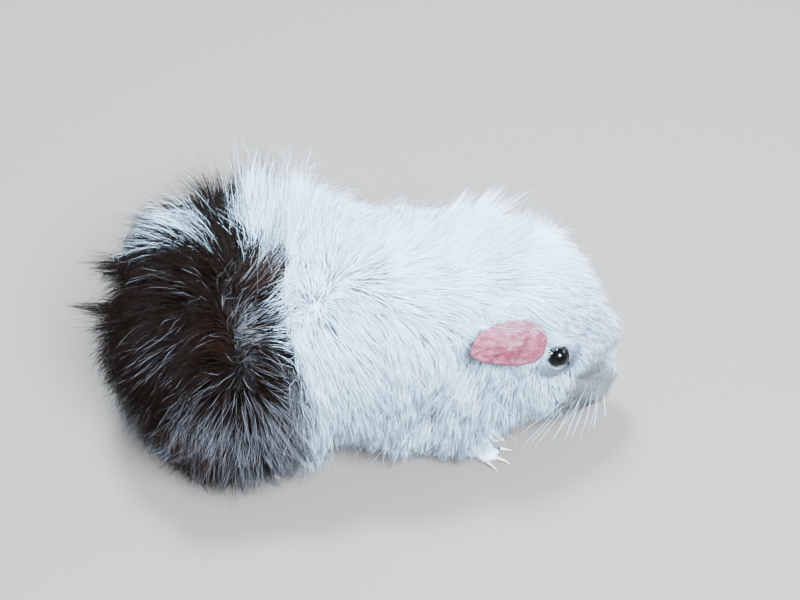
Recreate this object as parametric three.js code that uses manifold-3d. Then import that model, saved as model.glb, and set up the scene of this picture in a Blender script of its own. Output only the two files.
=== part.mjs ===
// A long-haired, rosetted guinea pig standing with its head lowered, as a still life-size model.
// Millimetres. +X runs towards the nose, +Y to the animal's left, +Z up, and the feet stand on Z = 0.
// The solids are the outer shape of the coat: the bare skin lies a coat's depth inside them.
import * as THREE from "three";
import Module from "manifold-3d";
import { mergeVertices } from "three/addons/utils/BufferGeometryUtils.js";

const wasm = await Module();
wasm.setup();

// ---- driving dimensions -------------------------------------------------------------------------
const GAP = 0.35; // clear space left at every cut between two parts
const BLEND = 5.5; // how softly neighbouring masses run together
const BELLY_CLEARANCE = 3; // lowest coat tips above the ground
const EYE_RADIUS = 5.9;
const EAR_LENGTH = 39;
const EAR_WIDTH = 21.5;
const EAR_THICKNESS = 1.8;
const CLAW_LENGTH = 6.5;
const CLAW_RADIUS = 1.15;

const SIDES = [
  { name: "right", side: -1 },
  { name: "left", side: 1 },
];

// The skull's middle, and how far the head is lowered and turned to its right.
const HEAD_CENTRE = new THREE.Vector3(83, -4, 70);
const HEAD_LOWERED = THREE.MathUtils.degToRad(33);
const HEAD_TURNED = THREE.MathUtils.degToRad(-12);

// Where each foot stands, and how far its toes turn out.
const FOREFEET = {
  right: { x: 57, y: -37, turn: -12 },
  left: { x: 48, y: 33, turn: 8 },
};
const HINDFEET = {
  right: { x: -70, y: -42, turn: -8 },
  left: { x: -63, y: 42, turn: 8 },
};

// ---- finishes -----------------------------------------------------------------------------------
const finish = {
  white: new THREE.MeshStandardMaterial({ color: 0xe9e7e4, roughness: 0.85 }),
  brown: new THREE.MeshStandardMaterial({ color: 0x3b2c26, roughness: 0.85 }),
  skin: new THREE.MeshStandardMaterial({ color: 0xd09a98, roughness: 0.6 }),
  claw: new THREE.MeshStandardMaterial({ color: 0x9b8778, roughness: 0.45 }),
  eye: new THREE.MeshStandardMaterial({ color: 0x0b0807, roughness: 0.08 }),
};

// ---- between three.js geometry and solids --------------------------------------------------------
function solidOf(geometry) {
  const plain = geometry.index ? geometry.toNonIndexed() : geometry.clone();
  for (const name of Object.keys(plain.attributes)) {
    if (name !== "position") plain.deleteAttribute(name);
  }
  const merged = mergeVertices(plain, 1e-4);
  return new wasm.Manifold(
    new wasm.Mesh({
      numProp: 3,
      vertProperties: merged.attributes.position.array,
      triVerts: new Uint32Array(merged.index.array),
    }),
  );
}

function geometryOf(solid) {
  const mesh = solid.getMesh();
  const geometry = new THREE.BufferGeometry();
  geometry.setAttribute("position", new THREE.BufferAttribute(new Float32Array(mesh.vertProperties), 3));
  geometry.setIndex(new THREE.BufferAttribute(new Uint32Array(mesh.triVerts), 1));
  geometry.computeVertexNormals();
  return geometry;
}

// A cut can leave crumbs of a few cubic millimetres behind: the part is the biggest piece.
function largest(solid) {
  return solid.decompose().reduce((best, piece) => (piece.volume() > best.volume() ? piece : best));
}

const joined = (solids) => solids.reduce((sum, solid) => sum.add(solid));

// An ellipsoid, smoother on larger ones. extra grows it by that much all round.
function ellipsoid(centre, radii, { extra = 0, around = 9, along = 5, turn } = {}) {
  const geometry = new THREE.SphereGeometry(1, around, along);
  geometry.scale(radii[0] + extra, radii[1] + extra, radii[2] + extra);
  if (turn) geometry.applyMatrix4(turn);
  return solidOf(geometry.translate(...centre));
}

// ---- frames -------------------------------------------------------------------------------------
const headMatrix = new THREE.Matrix4()
  .makeTranslation(HEAD_CENTRE)
  .multiply(new THREE.Matrix4().makeRotationZ(HEAD_TURNED))
  .multiply(new THREE.Matrix4().makeRotationY(HEAD_LOWERED));
const headTurn = new THREE.Matrix4().extractRotation(headMatrix);

const onHead = (forward, left, up) => new THREE.Vector3(forward, left, up).applyMatrix4(headMatrix);

// ---- the coat's outer surface: soft masses blended together --------------------------------------
const bodyMasses = [
  { at: [-74, 3, 65], size: [59, 75, 60] }, // rump
  { at: [-28, 2, 60], size: [60, 68, 59] }, // loins and belly
  { at: [20, 0, 61], size: [54, 61, 57] }, // shoulders and chest
  { at: [56, 5, 77], size: [38, 50, 41] }, // neck hump
  { at: [89, 5, 84], size: [34, 35, 30] }, // mane over the nape
  { at: [74, -3, 38], size: [40, 45, 34] }, // ruff under the throat
];
// On the head: forward, to the left and up from HEAD_CENTRE.
const headMasses = [
  { at: [-2, 0, 2], size: [33, 28, 26] }, // cranium
  { at: [20, 0, 5], size: [25, 20, 15] }, // forehead
  { at: [39, -1, -5], size: [21.5, 9, 11] }, // bridge of the nose
  { at: [35, 0, -23], size: [18, 13, 10] }, // chin
  { at: [30, 12, 18], size: [20, 10, 8] }, // forelock over the nose
];
for (const { side } of SIDES) {
  bodyMasses.push({ at: [-56, side * 43, 37], size: [44, 37, 35] }); // haunch
  bodyMasses.push({ at: [28, side * 30, 36], size: [32, 28, 32] }); // upper foreleg
  headMasses.push({ at: [45, side * 7, -11], size: [13, 8, 9] }); // upper lip
  headMasses.push({ at: [9, side * 18, -20], size: [27, 16, 22] }); // cheek
  headMasses.push({ at: [31, side * 16, -30], size: [22, 12, 16] }); // beard of the cheek
}

const masses = [
  ...bodyMasses.map((mass) => ({ ...mass, frame: new THREE.Matrix4() })),
  ...headMasses.map((mass) => ({ ...mass, frame: headMatrix })),
].map(({ at, size, frame }) => ({
  inverse: frame.clone().multiply(new THREE.Matrix4().makeTranslation(...at)).invert(),
  radii: new THREE.Vector3(...size),
  reach: Math.cbrt(size[0] * size[1] * size[2]),
}));

const MARCH_STEPS = 24; // towards the blended surface

// About the distance to the blended surface, negative inside.
const probe = new THREE.Vector3();
function distanceTo(point) {
  let sum = 0;
  for (const { inverse, radii, reach } of masses) {
    probe.copy(point).applyMatrix4(inverse).divide(radii);
    sum += Math.exp(((1 - probe.length()) * reach) / BLEND);
  }
  return -BLEND * Math.log(sum);
}

// Whorls whose hair stands round a pit: place, pit depth and spread.
const rosettes = [
  { at: [-58, -4, 124], pit: 6, spread: 13 },
  { at: [-15, -20, 116], pit: 3, spread: 12 },
];
for (const { side } of SIDES) {
  rosettes.push({ at: [-79, side * 35, 116], pit: 6, spread: 13 });
  rosettes.push({ at: [-55, side * 65, 86], pit: 5, spread: 14 });
}

// The fold where the cheeks' coat lies over the shoulder, along the plane that parts head and neck.
const HEAD_CUT = new THREE.Vector3(0.956, 0, -0.292);
const HEAD_CUT_AT = 26.7;
const FOLD_DEPTH = 3.5;
const FOLD_WIDTH = 6;

// On the head: forward, to the left and up from HEAD_CENTRE, for the left side.
const EYE_AT = [15.5, 22.4, 14.8];
// A petal's own axes: towards its round front end, and outwards. The far ear hangs lower under the mane.
const EARS = {
  right: { at: [-14.9, 36.1, 19.1], forward: [0.849, -0.42, 0.317], out: [0.116, 0.736, 0.666] },
  left: { at: [-14, 39, 11], forward: [0.88, -0.3, 0.37], out: [0.1, 0.87, 0.48] },
};

const eyePlace = (side) => onHead(EYE_AT[0], side * EYE_AT[1], EYE_AT[2]);
const mirrored = ([forward, left, up], side) => new THREE.Vector3(forward, side * left, up);

// Moves a point along a line onto the blended surface.
function ontoSurface(spot, out) {
  for (let step = 0; step < MARCH_STEPS; step++) spot.addScaledVector(out, -distanceTo(spot) * 0.8);
  return spot;
}

// Dips that bring the coat down to the eyes and ears: cover is how far it still stands over the place.
const hollows = SIDES.flatMap(({ name, side }) => [
  { place: mirrored(EYE_AT, side), cover: 2, spread: 12 },
  { place: mirrored(EARS[name].at, side), cover: -3.5, spread: 15 },
]).map(({ place, cover, spread }) => {
  const out = new THREE.Vector3(0, place.y, place.z + 4).applyMatrix4(headTurn).normalize();
  const root = place.clone().applyMatrix4(headMatrix);
  const at = ontoSurface(root.clone(), out);
  return { at, spread, depth: at.clone().sub(root).dot(out) - cover };
});

// How far the coat stands proud of the blended masses: pits, swirled rims, folds and loose locks.
function relief(point) {
  let height = 0;
  for (const { at, pit, spread } of rosettes) {
    const away = probe.set(...at).distanceTo(point) / spread;
    height += pit * (0.45 * away * away - 1) * Math.exp(-away * away);
  }
  const fromFold = (HEAD_CUT.dot(point) - HEAD_CUT_AT) / FOLD_WIDTH;
  const low = 1 - THREE.MathUtils.smoothstep(point.z, 85, 105);
  height -= FOLD_DEPTH * low * Math.exp(-fromFold * fromFold);
  for (const { at, depth, spread } of hollows) {
    height -= depth * Math.exp(-((at.distanceTo(point) / spread) ** 2));
  }
  const shaggy = THREE.MathUtils.smoothstep(-point.x, -60, 10);
  const locks =
    Math.sin(point.x * 0.42 + point.z * 0.21) * Math.sin(point.y * 0.33 - point.z * 0.27 + point.x * 0.11);
  return height + locks * (0.2 + 1.2 * shaggy);
}

// ---- the whole body as one skin of rings round a spine --------------------------------------------
const RINGS = 23;
const CAP_RINGS = 4;
const ROUND = 28;
const HEAD_CROWDING = 1.2; // rings lie closer together towards the head
const spine = new THREE.CatmullRomCurve3([
  new THREE.Vector3(-82, 0, 60),
  new THREE.Vector3(-30, 0, 60),
  new THREE.Vector3(25, 0, 62),
  new THREE.Vector3(60, -1, 64),
  onHead(2, 0, -4),
  onHead(40, 0, -9),
]);

// grown moves the surface outwards by that much, so that a neighbour cut by it keeps its gap.
function bodySolid(grown = 0) {
  const shape = new THREE.CapsuleGeometry(1, 2, CAP_RINGS, ROUND, RINGS);
  const place = shape.attributes.position;
  const vertex = new THREE.Vector3();
  for (let i = 0; i < place.count; i++) {
    vertex.fromBufferAttribute(place, i);
    const along = THREE.MathUtils.clamp(vertex.y, -1, 1);
    const spot = spine.getPointAt(1 - ((1 - along) / 2) ** HEAD_CROWDING);
    const bent = THREE.MathUtils.smoothstep(spot.x, 15, 120);
    const turn = new THREE.Euler(0, HEAD_LOWERED * bent, HEAD_TURNED * bent, "ZYX");
    const out = new THREE.Vector3(vertex.y - along, -vertex.x, vertex.z).normalize().applyEuler(turn);
    ontoSurface(spot, out);
    spot.addScaledVector(out, relief(spot) + grown);
    spot.z = Math.max(spot.z, BELLY_CLEARANCE - grown);
    place.setXYZ(i, spot.x, spot.y, spot.z);
  }
  return solidOf(shape);
}

// ---- feet and claws -------------------------------------------------------------------------------
// A foot's own frame: forward, to the left and up from the ground under its middle.
const forefootShape = {
  pads: [
    { at: [0, 0, 4.2], size: [9, 6.2, 5.2] },
    { at: [-5, 0, 11], size: [6.5, 6, 9] },
  ],
  toes: [
    { angle: -30, root: 5, length: 10 },
    { angle: -11, root: 7, length: 11.5 },
    { angle: 9, root: 7, length: 11.5 },
    { angle: 28, root: 5, length: 10 },
  ],
  toeRadius: 2.4,
};
const hindfootShape = {
  pads: [
    { at: [0, 0, 4.3], size: [21, 7.4, 5.3] },
    { at: [-14, 0, 8.6], size: [11, 7.2, 9.5] },
  ],
  toes: [
    { angle: -17, root: 15, length: 13 },
    { angle: 0, root: 17, length: 14.5 },
    { angle: 17, root: 15, length: 13 },
  ],
  toeRadius: 2.9,
};

const footMatrix = ({ x, y, turn }) =>
  new THREE.Matrix4().makeTranslation(x, y, 0).multiply(new THREE.Matrix4().makeRotationZ(turn * (Math.PI / 180)));

// A toe's frame in its foot: forward along the toe from its root.
const toeMatrix = ({ angle, root }) => {
  const turned = new THREE.Matrix4().makeRotationZ(angle * (Math.PI / 180));
  return turned.multiply(new THREE.Matrix4().makeTranslation(root, 0, 0));
};

function clawSolid(toe, radius, extra = 0) {
  const length = CLAW_LENGTH + 2 * extra;
  const shape = new THREE.CylinderGeometry(0.3 + extra, CLAW_RADIUS + extra, length, 5, 2);
  shape.rotateZ(-Math.PI / 2).translate(length / 2 - extra, 0, 0);
  const place = shape.attributes.position;
  for (let i = 0; i < place.count; i++) {
    place.setZ(i, place.getZ(i) - 0.035 * Math.max(place.getX(i), 0) ** 2); // the hooked tip
  }
  shape.translate(toe.length - 1.4, 0, radius + 0.5).applyMatrix4(toeMatrix(toe));
  return solidOf(shape);
}

function footSolid({ pads, toes, toeRadius }, extra = 0) {
  const pieces = pads.map(({ at, size }) => ellipsoid(at, size, { extra }));
  for (const toe of toes) {
    const shape = new THREE.SphereGeometry(1, 6, 4).rotateZ(Math.PI / 2);
    shape.scale(toe.length / 2 + extra, toeRadius + extra, toeRadius + 0.6 + extra);
    pieces.push(solidOf(shape.translate(toe.length / 2, 0, toeRadius).applyMatrix4(toeMatrix(toe))));
  }
  return joined(pieces);
}

// ---- ears: thin petals that droop over the side of the head --------------------------------------
function earSolid({ at, forward, out }, side) {
  const shape = new THREE.SphereGeometry(1, 18, 7).rotateX(Math.PI / 2);
  const place = shape.attributes.position;
  for (let i = 0; i < place.count; i++) {
    const [x, y, z] = [place.getX(i), place.getY(i), place.getZ(i)];
    const flat = Math.sign(z) * Math.sqrt(Math.abs(z)) * (EAR_THICKNESS / 2);
    const dome = 3.2 * (1 - x * x) * (1 - y * y) - 2.5 * Math.max(0, -y) ** 2;
    place.setXYZ(i, (x * EAR_LENGTH) / 2, (y * (1 + 0.26 * x) * EAR_WIDTH) / 2, flat + dome);
  }
  const [along, outward] = [new THREE.Vector3(...forward).normalize(), new THREE.Vector3(...out)];
  const across = outward.clone().cross(along).normalize();
  const frame = new THREE.Matrix4().makeBasis(along, across, along.clone().cross(across));
  const stalk = ellipsoid([4, 0, -8], [11, 6, 7]); // the rolled root, down to the skull
  const ear = solidOf(shape).add(stalk).transform(frame.setPosition(...at).elements);
  return (side < 0 ? ear.mirror([0, 1, 0]) : ear).transform(headMatrix.elements);
}

// ---- parting the body ----------------------------------------------------------------------------
// Cuts a solid along a plane into what lies behind it and what lies beyond, with the gap between.
function parted(solid, normal, offset) {
  const back = solid.trimByPlane(normal.map((n) => -n), -(offset - GAP / 2));
  return [largest(back), largest(solid.trimByPlane(normal, offset + GAP / 2))];
}

// Takes the part of a solid inside an ellipsoid, and what is left round it.
function takenOut(solid, centre, radii, options) {
  const inner = solid.intersect(ellipsoid(centre, radii, options));
  return [largest(inner), solid.subtract(ellipsoid(centre, radii, { ...options, extra: GAP }))];
}

const parts = [];
const add = (name, solid, material) => parts.push({ name, solid, material });

let body = bodySolid();
const grownBody = bodySolid(GAP);
const fine = { around: 14, along: 9 };

for (const { name, side } of SIDES) {
  const place = eyePlace(side).toArray();
  add(`eye_${name}`, ellipsoid(place, Array(3).fill(EYE_RADIUS), fine), finish.eye);
  body = body.subtract(ellipsoid(place, Array(3).fill(EYE_RADIUS), { ...fine, extra: GAP }));
  add(`ear_${name}`, largest(earSolid(EARS[name], side).subtract(grownBody)), finish.skin);
}

for (const [kind, shape, stance] of [
  ["forefoot", forefootShape, FOREFEET],
  ["hindfoot", hindfootShape, HINDFEET],
]) {
  for (const { name } of SIDES) {
    const matrix = footMatrix(stance[name]).elements;
    const grownClaws = joined(shape.toes.map((toe) => clawSolid(toe, shape.toeRadius, GAP)));
    const foot = footSolid(shape).subtract(grownClaws).trimByPlane([0, 0, 1], 0);
    add(`${kind}_${name}`, largest(foot).transform(matrix), finish.skin);
    body = body.subtract(joined([footSolid(shape, GAP), grownClaws]).transform(matrix));
    shape.toes.forEach((toe, i) => {
      const claw = clawSolid(toe, shape.toeRadius).transform(matrix);
      add(`${kind}_${name}_claw_${i + 1}`, claw, finish.claw);
    });
  }
}

const trunkFine = { around: 14, along: 8 };
for (const { name, side } of SIDES) {
  let leg;
  [leg, body] = takenOut(body, [-56, side * 50, 34], [40, 42, 42], trunkFine);
  add(`hindleg_${name}`, leg, finish.brown);
  [leg, body] = takenOut(body, [32, side * 46, 26], [24, 27, 32], trunkFine);
  add(`foreleg_${name}`, leg, finish.white);
}

let [rump, rest] = parted(body, [1, 0, 0], -48);
let trunk, shoulders, neck, head, nose;
[trunk, rest] = parted(rest, [1, 0, 0], -6);
[shoulders, rest] = parted(rest, HEAD_CUT.toArray(), HEAD_CUT_AT - 20);
[neck, head] = parted(rest, HEAD_CUT.toArray(), HEAD_CUT_AT);
[nose, head] = takenOut(head, onHead(60, 0, -4).toArray(), [6, 7.5, 6], { turn: headTurn });

// The mouth: what lies under a slanting cut below the nose, between the beards, is the lower jaw.
const jawPlace = onHead(38, 0, -33).toArray();
const jawSize = [21, 14, 21];
const jawNormal = new THREE.Vector3(0.28, 0, -1).normalize().applyMatrix4(headTurn);
const jawOffset = jawNormal.dot(onHead(50, 0, -22));
const belowMouth = (extra) => {
  const region = ellipsoid(jawPlace, jawSize, { ...fine, turn: headTurn, extra });
  return region.trimByPlane(jawNormal.toArray(), jawOffset - extra);
};
const jaw = largest(head.intersect(belowMouth(0)));
head = head.subtract(belowMouth(GAP));

add("rump", largest(rump), finish.brown);
add("trunk", largest(trunk), finish.white);
add("shoulders", largest(shoulders), finish.white);
add("neck", largest(neck), finish.white);
add("head", largest(head), finish.white);
add("nose", nose, finish.skin);
add("jaw", jaw, finish.white);

// ---- the assembled animal, its box centred over the origin -----------------------------------------
const guineaPig = new THREE.Group();
for (const { name, solid, material } of parts) {
  const mesh = new THREE.Mesh(geometryOf(solid), material);
  mesh.name = name;
  guineaPig.add(mesh);
}
const middle = new THREE.Box3().setFromObject(guineaPig, true).getCenter(new THREE.Vector3());
guineaPig.position.set(-middle.x, -middle.y, 0);

export default guineaPig;
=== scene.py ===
"""A long-haired guinea pig with rosettes: one skin over its solids, and a coat of fine solid tufts."""

import math

import bmesh
import bpy
import numpy as np
from mathutils import Euler, Matrix, Vector, noise
from mathutils.bvhtree import BVHTree
from mathutils.kdtree import KDTree


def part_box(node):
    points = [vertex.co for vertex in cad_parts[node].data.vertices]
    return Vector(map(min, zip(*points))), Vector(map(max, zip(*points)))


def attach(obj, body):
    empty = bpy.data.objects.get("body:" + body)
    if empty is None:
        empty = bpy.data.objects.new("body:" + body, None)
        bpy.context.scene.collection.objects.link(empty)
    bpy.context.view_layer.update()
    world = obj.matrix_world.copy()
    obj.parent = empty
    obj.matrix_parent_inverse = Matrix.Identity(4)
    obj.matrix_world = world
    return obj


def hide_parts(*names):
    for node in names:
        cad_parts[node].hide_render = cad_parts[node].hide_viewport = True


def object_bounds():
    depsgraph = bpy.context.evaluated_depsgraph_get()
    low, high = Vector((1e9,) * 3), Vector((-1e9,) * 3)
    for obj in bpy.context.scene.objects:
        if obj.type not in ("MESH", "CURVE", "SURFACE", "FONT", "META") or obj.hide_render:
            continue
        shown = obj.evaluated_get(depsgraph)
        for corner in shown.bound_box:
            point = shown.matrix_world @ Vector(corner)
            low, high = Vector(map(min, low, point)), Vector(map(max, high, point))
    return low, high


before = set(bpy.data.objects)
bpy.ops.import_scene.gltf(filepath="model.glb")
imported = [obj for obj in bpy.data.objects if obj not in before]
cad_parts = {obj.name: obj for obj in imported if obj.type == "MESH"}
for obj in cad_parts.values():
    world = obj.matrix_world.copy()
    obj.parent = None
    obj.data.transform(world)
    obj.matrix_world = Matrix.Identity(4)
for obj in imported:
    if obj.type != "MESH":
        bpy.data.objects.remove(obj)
cad_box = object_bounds()

MM = 0.001
SIDES = {"right": -1, "left": 1}
rng = np.random.default_rng(5)

FLESH = ["rump", "trunk", "shoulders", "neck", "head", "nose", "jaw"]
FLESH += [f"{limb}_{side}" for limb in ("foreleg", "hindleg") for side in SIDES]
FEET = [f"{foot}_{side}" for foot in ("forefoot", "hindfoot") for side in SIDES]


# ---- places, all taken from the solids -----------------------------------------------------------
def middle(node):
    low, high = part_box(node)
    return (Vector(low) + Vector(high)) / 2


# The head's own frame: forward, to its left and up, from the middle of the skull.
HEAD_LOWERED = math.radians(33)
EYE_AT = Vector((15.5, 22.4, 14.8)) * MM  # the left eye in that frame
eye_across = (middle("eye_left") - middle("eye_right")).normalized()
head_turn = Matrix.Rotation(math.atan2(-eye_across.x, eye_across.y), 3, "Z")
head_turn = head_turn @ Matrix.Rotation(HEAD_LOWERED, 3, "Y")
between_eyes = (middle("eye_left") + middle("eye_right")) / 2
head_origin = between_eyes - head_turn @ Vector((EYE_AT.x, 0, EYE_AT.z))
head = Matrix.LocRotScale(head_origin, head_turn, None)


def on_head(forward, left, up):
    """A place on the head, given in millimetres in the head's own frame."""
    return head @ (Vector((forward, left, up)) * MM)


def eye_spot(side):
    """The middle of an eye in millimetres in the head's own frame."""
    return np.array([EYE_AT.x, side * EYE_AT.y, EYE_AT.z]) / MM


EYE_RADIUS = (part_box("eye_right")[1][2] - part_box("eye_right")[0][2]) / 2
GAZE = Vector((0.12, 0.80, 0.585)).normalized()  # the left eye's, in the head's own frame


def eye_frame(side):
    """The frame of an eye: z out along its gaze, x forward along the head."""
    name = "left" if side > 0 else "right"
    out = head_turn @ Vector((GAZE.x, side * GAZE.y, GAZE.z))
    ahead = head_turn @ Vector((1, 0, 0))
    ahead = (ahead - out * ahead.dot(out)).normalized()
    turn = Matrix((ahead, out.cross(ahead), out)).transposed()
    return Matrix.LocRotScale(middle(f"eye_{name}"), turn, None)


# ---- small helpers -------------------------------------------------------------------------------
def add_object(name, data):
    made = bpy.data.objects.new(name, data)
    bpy.context.scene.collection.objects.link(made)
    return made


def as_mesh(name, bm):
    mesh = bpy.data.meshes.new(name)
    bm.to_mesh(mesh)
    bm.free()
    return mesh


def new_piece(name, mesh, material):
    """A piece of the animal at the origin, riding on its one body."""
    piece = add_object(name, mesh)
    mesh.materials.append(material)
    mesh.shade_smooth()
    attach(piece, "root")
    return piece


def settle(piece):
    """Applies the piece's modifiers."""
    bpy.context.view_layer.update()
    evaluated = piece.evaluated_get(bpy.context.evaluated_depsgraph_get())
    mesh = bpy.data.meshes.new_from_object(evaluated)
    piece.modifiers.clear()
    piece.data = mesh
    mesh.shade_smooth()


def thicken(piece, thickness, offset, levels):
    """Gives an open surface its thickness, and rounds it."""
    shell = piece.modifiers.new("Thickness", "SOLIDIFY")
    shell.thickness = thickness
    shell.offset = offset
    rounded = piece.modifiers.new("Round", "SUBSURF")
    rounded.levels = rounded.render_levels = levels
    settle(piece)


def values_of(items, key, width=1, kind=float):
    """A value, or a row of as many as width, for each of a mesh's points, edges, faces or corners."""
    values = np.empty(len(items) * width, dtype=kind)
    items.foreach_get(key, values)
    return values.reshape(-1, width) if width > 1 else values


def coordinates(mesh):
    return values_of(mesh.vertices, "co", 3)


def normals_of(mesh):
    return values_of(mesh.vertices, "normal", 3)


def edges_of(mesh):
    return values_of(mesh.edges, "vertices", 2, np.int64)


def unwrap_of(mesh):
    """The place on the map OFBake of each of a mesh's corners."""
    return values_of(mesh.uv_layers["OFBake"].data, "uv", 2)


def move_points(mesh, points):
    mesh.vertices.foreach_set("co", points.ravel())
    mesh.update()


def mark_points(mesh, name, kind, values):
    """Writes an attribute of a mesh's points."""
    key = {"FLOAT": "value", "FLOAT_VECTOR": "vector", "FLOAT_COLOR": "color"}[kind]
    mesh.attributes.new(name, kind, "POINT").data.foreach_set(key, np.ravel(values))


def mark_coat(mesh, marking):
    """Writes brown, ticked and rust for each of a mesh's points, as a colour."""
    mark_points(mesh, "marking", "FLOAT_COLOR", np.column_stack([marking, np.ones(len(marking))]))


def unit(vectors):
    return vectors / np.maximum(np.linalg.norm(vectors, axis=-1, keepdims=True), 1e-9)


def dot(a, b):
    return (a * b).sum(-1, keepdims=True)


def smoothstep(values, low, high):
    share = np.clip((values - low) / (high - low), 0, 1)
    return share * share * (3 - 2 * share)


def bell(values, width):
    """A soft hill of height 1 over 0, falling away over the given width."""
    return np.exp(-((values / width) ** 2))


def bump(points, at, radius):
    """A soft round hill of height 1 round a place, with points and place in the same frame."""
    away = np.linalg.norm(points - np.asarray(at), axis=1) / radius
    return np.exp(-away * away)


def from_line(points, start, end):
    """The way to each point from the nearest place on the straight line between two others."""
    along = end - start
    share = np.clip((points - start) @ along / max(along @ along, 1e-9), 0, 1)
    return points - start - share[:, None] * along


def in_head(points):
    """Places in millimetres in the head's own frame."""
    return (points - np.array(head_origin)) @ np.array(head_turn) / MM


def in_eye(points, side):
    """Places in millimetres in an eye's own frame."""
    place = eye_frame(side)
    return (points - np.array(place.translation)) @ np.array(place.to_3x3()) / MM


def from_gaze(points, side):
    """How far places are from an eye's axis, in millimetres, on the eye's side of the head."""
    x, y, z = in_eye(points, side).T
    return np.where(z > -9, np.hypot(x, y), 99.0)


def cloudy(points, scale, seed):
    """Soft noise from -1 to 1, with features of the given size in metres."""
    offset = Vector((seed, seed * 1.7, -seed))
    return np.array([noise.noise(Vector(p) / scale + offset) for p in points])


# ---- materials -----------------------------------------------------------------------------------
def new_material(name):
    material = bpy.data.materials.new(name)
    material.use_nodes = True
    return material, material.node_tree, material.node_tree.nodes["Principled BSDF"]


def add_node(tree, kind, **values):
    """A node whose inputs are given by name, with _ for spaces; other values are its properties."""
    made = tree.nodes.new(kind)
    for key, value in values.items():
        socket = made.inputs.get(key.replace("_", " "))
        if socket is None:
            setattr(made, key, value)
        else:
            socket.default_value = value
    return made


def ramp(tree, factor, stops):
    made = tree.nodes.new("ShaderNodeValToRGB")
    elements = made.color_ramp.elements
    while len(elements) < len(stops):
        elements.new(0.5)
    for element, (position, colour) in zip(elements, stops):
        element.position = position
        element.color = (*colour, 1)
    tree.links.new(factor, made.inputs["Fac"])
    return made.outputs["Color"]


def mixed(tree, factor, first, second, blend="MIX"):
    made = tree.nodes.new("ShaderNodeMix")
    made.data_type = "RGBA"
    made.blend_type = blend
    for value, socket in ((factor, made.inputs[0]), (first, made.inputs[6]), (second, made.inputs[7])):
        if isinstance(value, bpy.types.NodeSocket):
            tree.links.new(value, socket)
        elif isinstance(value, tuple):
            socket.default_value = (*value, 1)
        else:
            socket.default_value = value
    return made.outputs[2]


def calculated(tree, operation, first, second, clamp=False):
    made = tree.nodes.new("ShaderNodeMath")
    made.operation = operation
    made.use_clamp = clamp
    for value, socket in zip((first, second), made.inputs):
        if isinstance(value, bpy.types.NodeSocket):
            tree.links.new(value, socket)
        else:
            socket.default_value = value
    return made.outputs[0]


def set_sockets(shader, **values):
    """Sets a shader's own sockets, given by name with _ for spaces."""
    for key, value in values.items():
        shader.inputs[key.replace("_", " ")].default_value = value


def attribute(tree, name, output="Fac"):
    return add_node(tree, "ShaderNodeAttribute", attribute_name=name).outputs[output]


def on_piece(tree, kind, output="Fac", **values):
    """A pattern that is laid out by the place on the piece."""
    made = add_node(tree, kind, **values)
    tree.links.new(tree.nodes.new("ShaderNodeTexCoord").outputs["Object"], made.inputs["Vector"])
    return made.outputs[output]


def add_relief(tree, shader, height, strength, distance):
    relief = add_node(tree, "ShaderNodeBump", Strength=strength, Distance=distance)
    tree.links.new(height, relief.inputs["Height"])
    tree.links.new(relief.outputs["Normal"], shader.inputs["Normal"])


# The white hair darkens towards its root as painted shade deep in the coat, and its blue tint is painted
# sky light.
SHADED_WHITE_ROOT = (0.16, 0.17, 0.19)
WHITE_MIDDLE = (0.43, 0.48, 0.54)
WHITE_TIP = (0.60, 0.68, 0.76)
CREAM_AND_SHADE_TINT = (0.125, 0.098, 0.085)
DARK_ROOT = (0.0008, 0.0006, 0.0005)
DARK_MIDDLE = (0.0009, 0.0005, 0.0004)
DARK_TIP = (0.0028, 0.0016, 0.0012)
SILVER = (0.190, 0.168, 0.182)
RUST = (0.027, 0.0092, 0.0044)


def coat_colours():
    """The coat's markings as a colour, with painted shade deep in the white coat, shared by the tufts and
    the skin under them.

    Marking holds brown, ticked and rust; Along runs from 0 at a hair's root to 1 at its tip, and
    Chance is a random number for each tuft.
    """
    group = bpy.data.node_groups.new("CoatColours", "ShaderNodeTree")
    for name, kind in (("Marking", "Color"), ("Along", "Float"), ("Chance", "Float")):
        group.interface.new_socket(name, in_out="INPUT", socket_type=f"NodeSocket{kind}")
    group.interface.new_socket("Colour", in_out="OUTPUT", socket_type="NodeSocketColor")
    inputs = group.nodes.new("NodeGroupInput").outputs
    marking = group.nodes.new("ShaderNodeSeparateColor")
    group.links.new(inputs["Marking"], marking.inputs[0])
    brown, ticked, rust = marking.outputs

    # Painted shade: the white hair is darkest at its root.
    white = ramp(group, inputs["Along"], [(0, SHADED_WHITE_ROOT), (0.45, WHITE_MIDDLE), (0.8, WHITE_TIP)])
    shade = calculated(group, "MULTIPLY_ADD", inputs["Chance"], 0.34)
    shade.node.inputs[2].default_value = 0.72
    white = mixed(group, 1.0, white, shade, "MULTIPLY")
    # Under white fur the rust channel tints towards a creamy tone, which in places is painted shade.
    white = mixed(group, rust, white, CREAM_AND_SHADE_TINT)

    dark = ramp(group, inputs["Along"], [(0, DARK_ROOT), (0.5, DARK_MIDDLE), (0.95, DARK_TIP)])
    dark = mixed(group, rust, dark, RUST)
    paling = group.nodes.new("ShaderNodeMapRange")
    paling.inputs["From Min"].default_value = 0.38
    paling.inputs["From Max"].default_value = 0.85
    group.links.new(inputs["Along"], paling.inputs["Value"])
    dark = mixed(group, calculated(group, "MULTIPLY", ticked, paling.outputs[0], clamp=True), dark, SILVER)

    outputs = group.nodes.new("NodeGroupOutput").inputs
    group.links.new(mixed(group, brown, white, dark), outputs["Colour"])
    return group


COAT_COLOURS = coat_colours()


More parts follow.
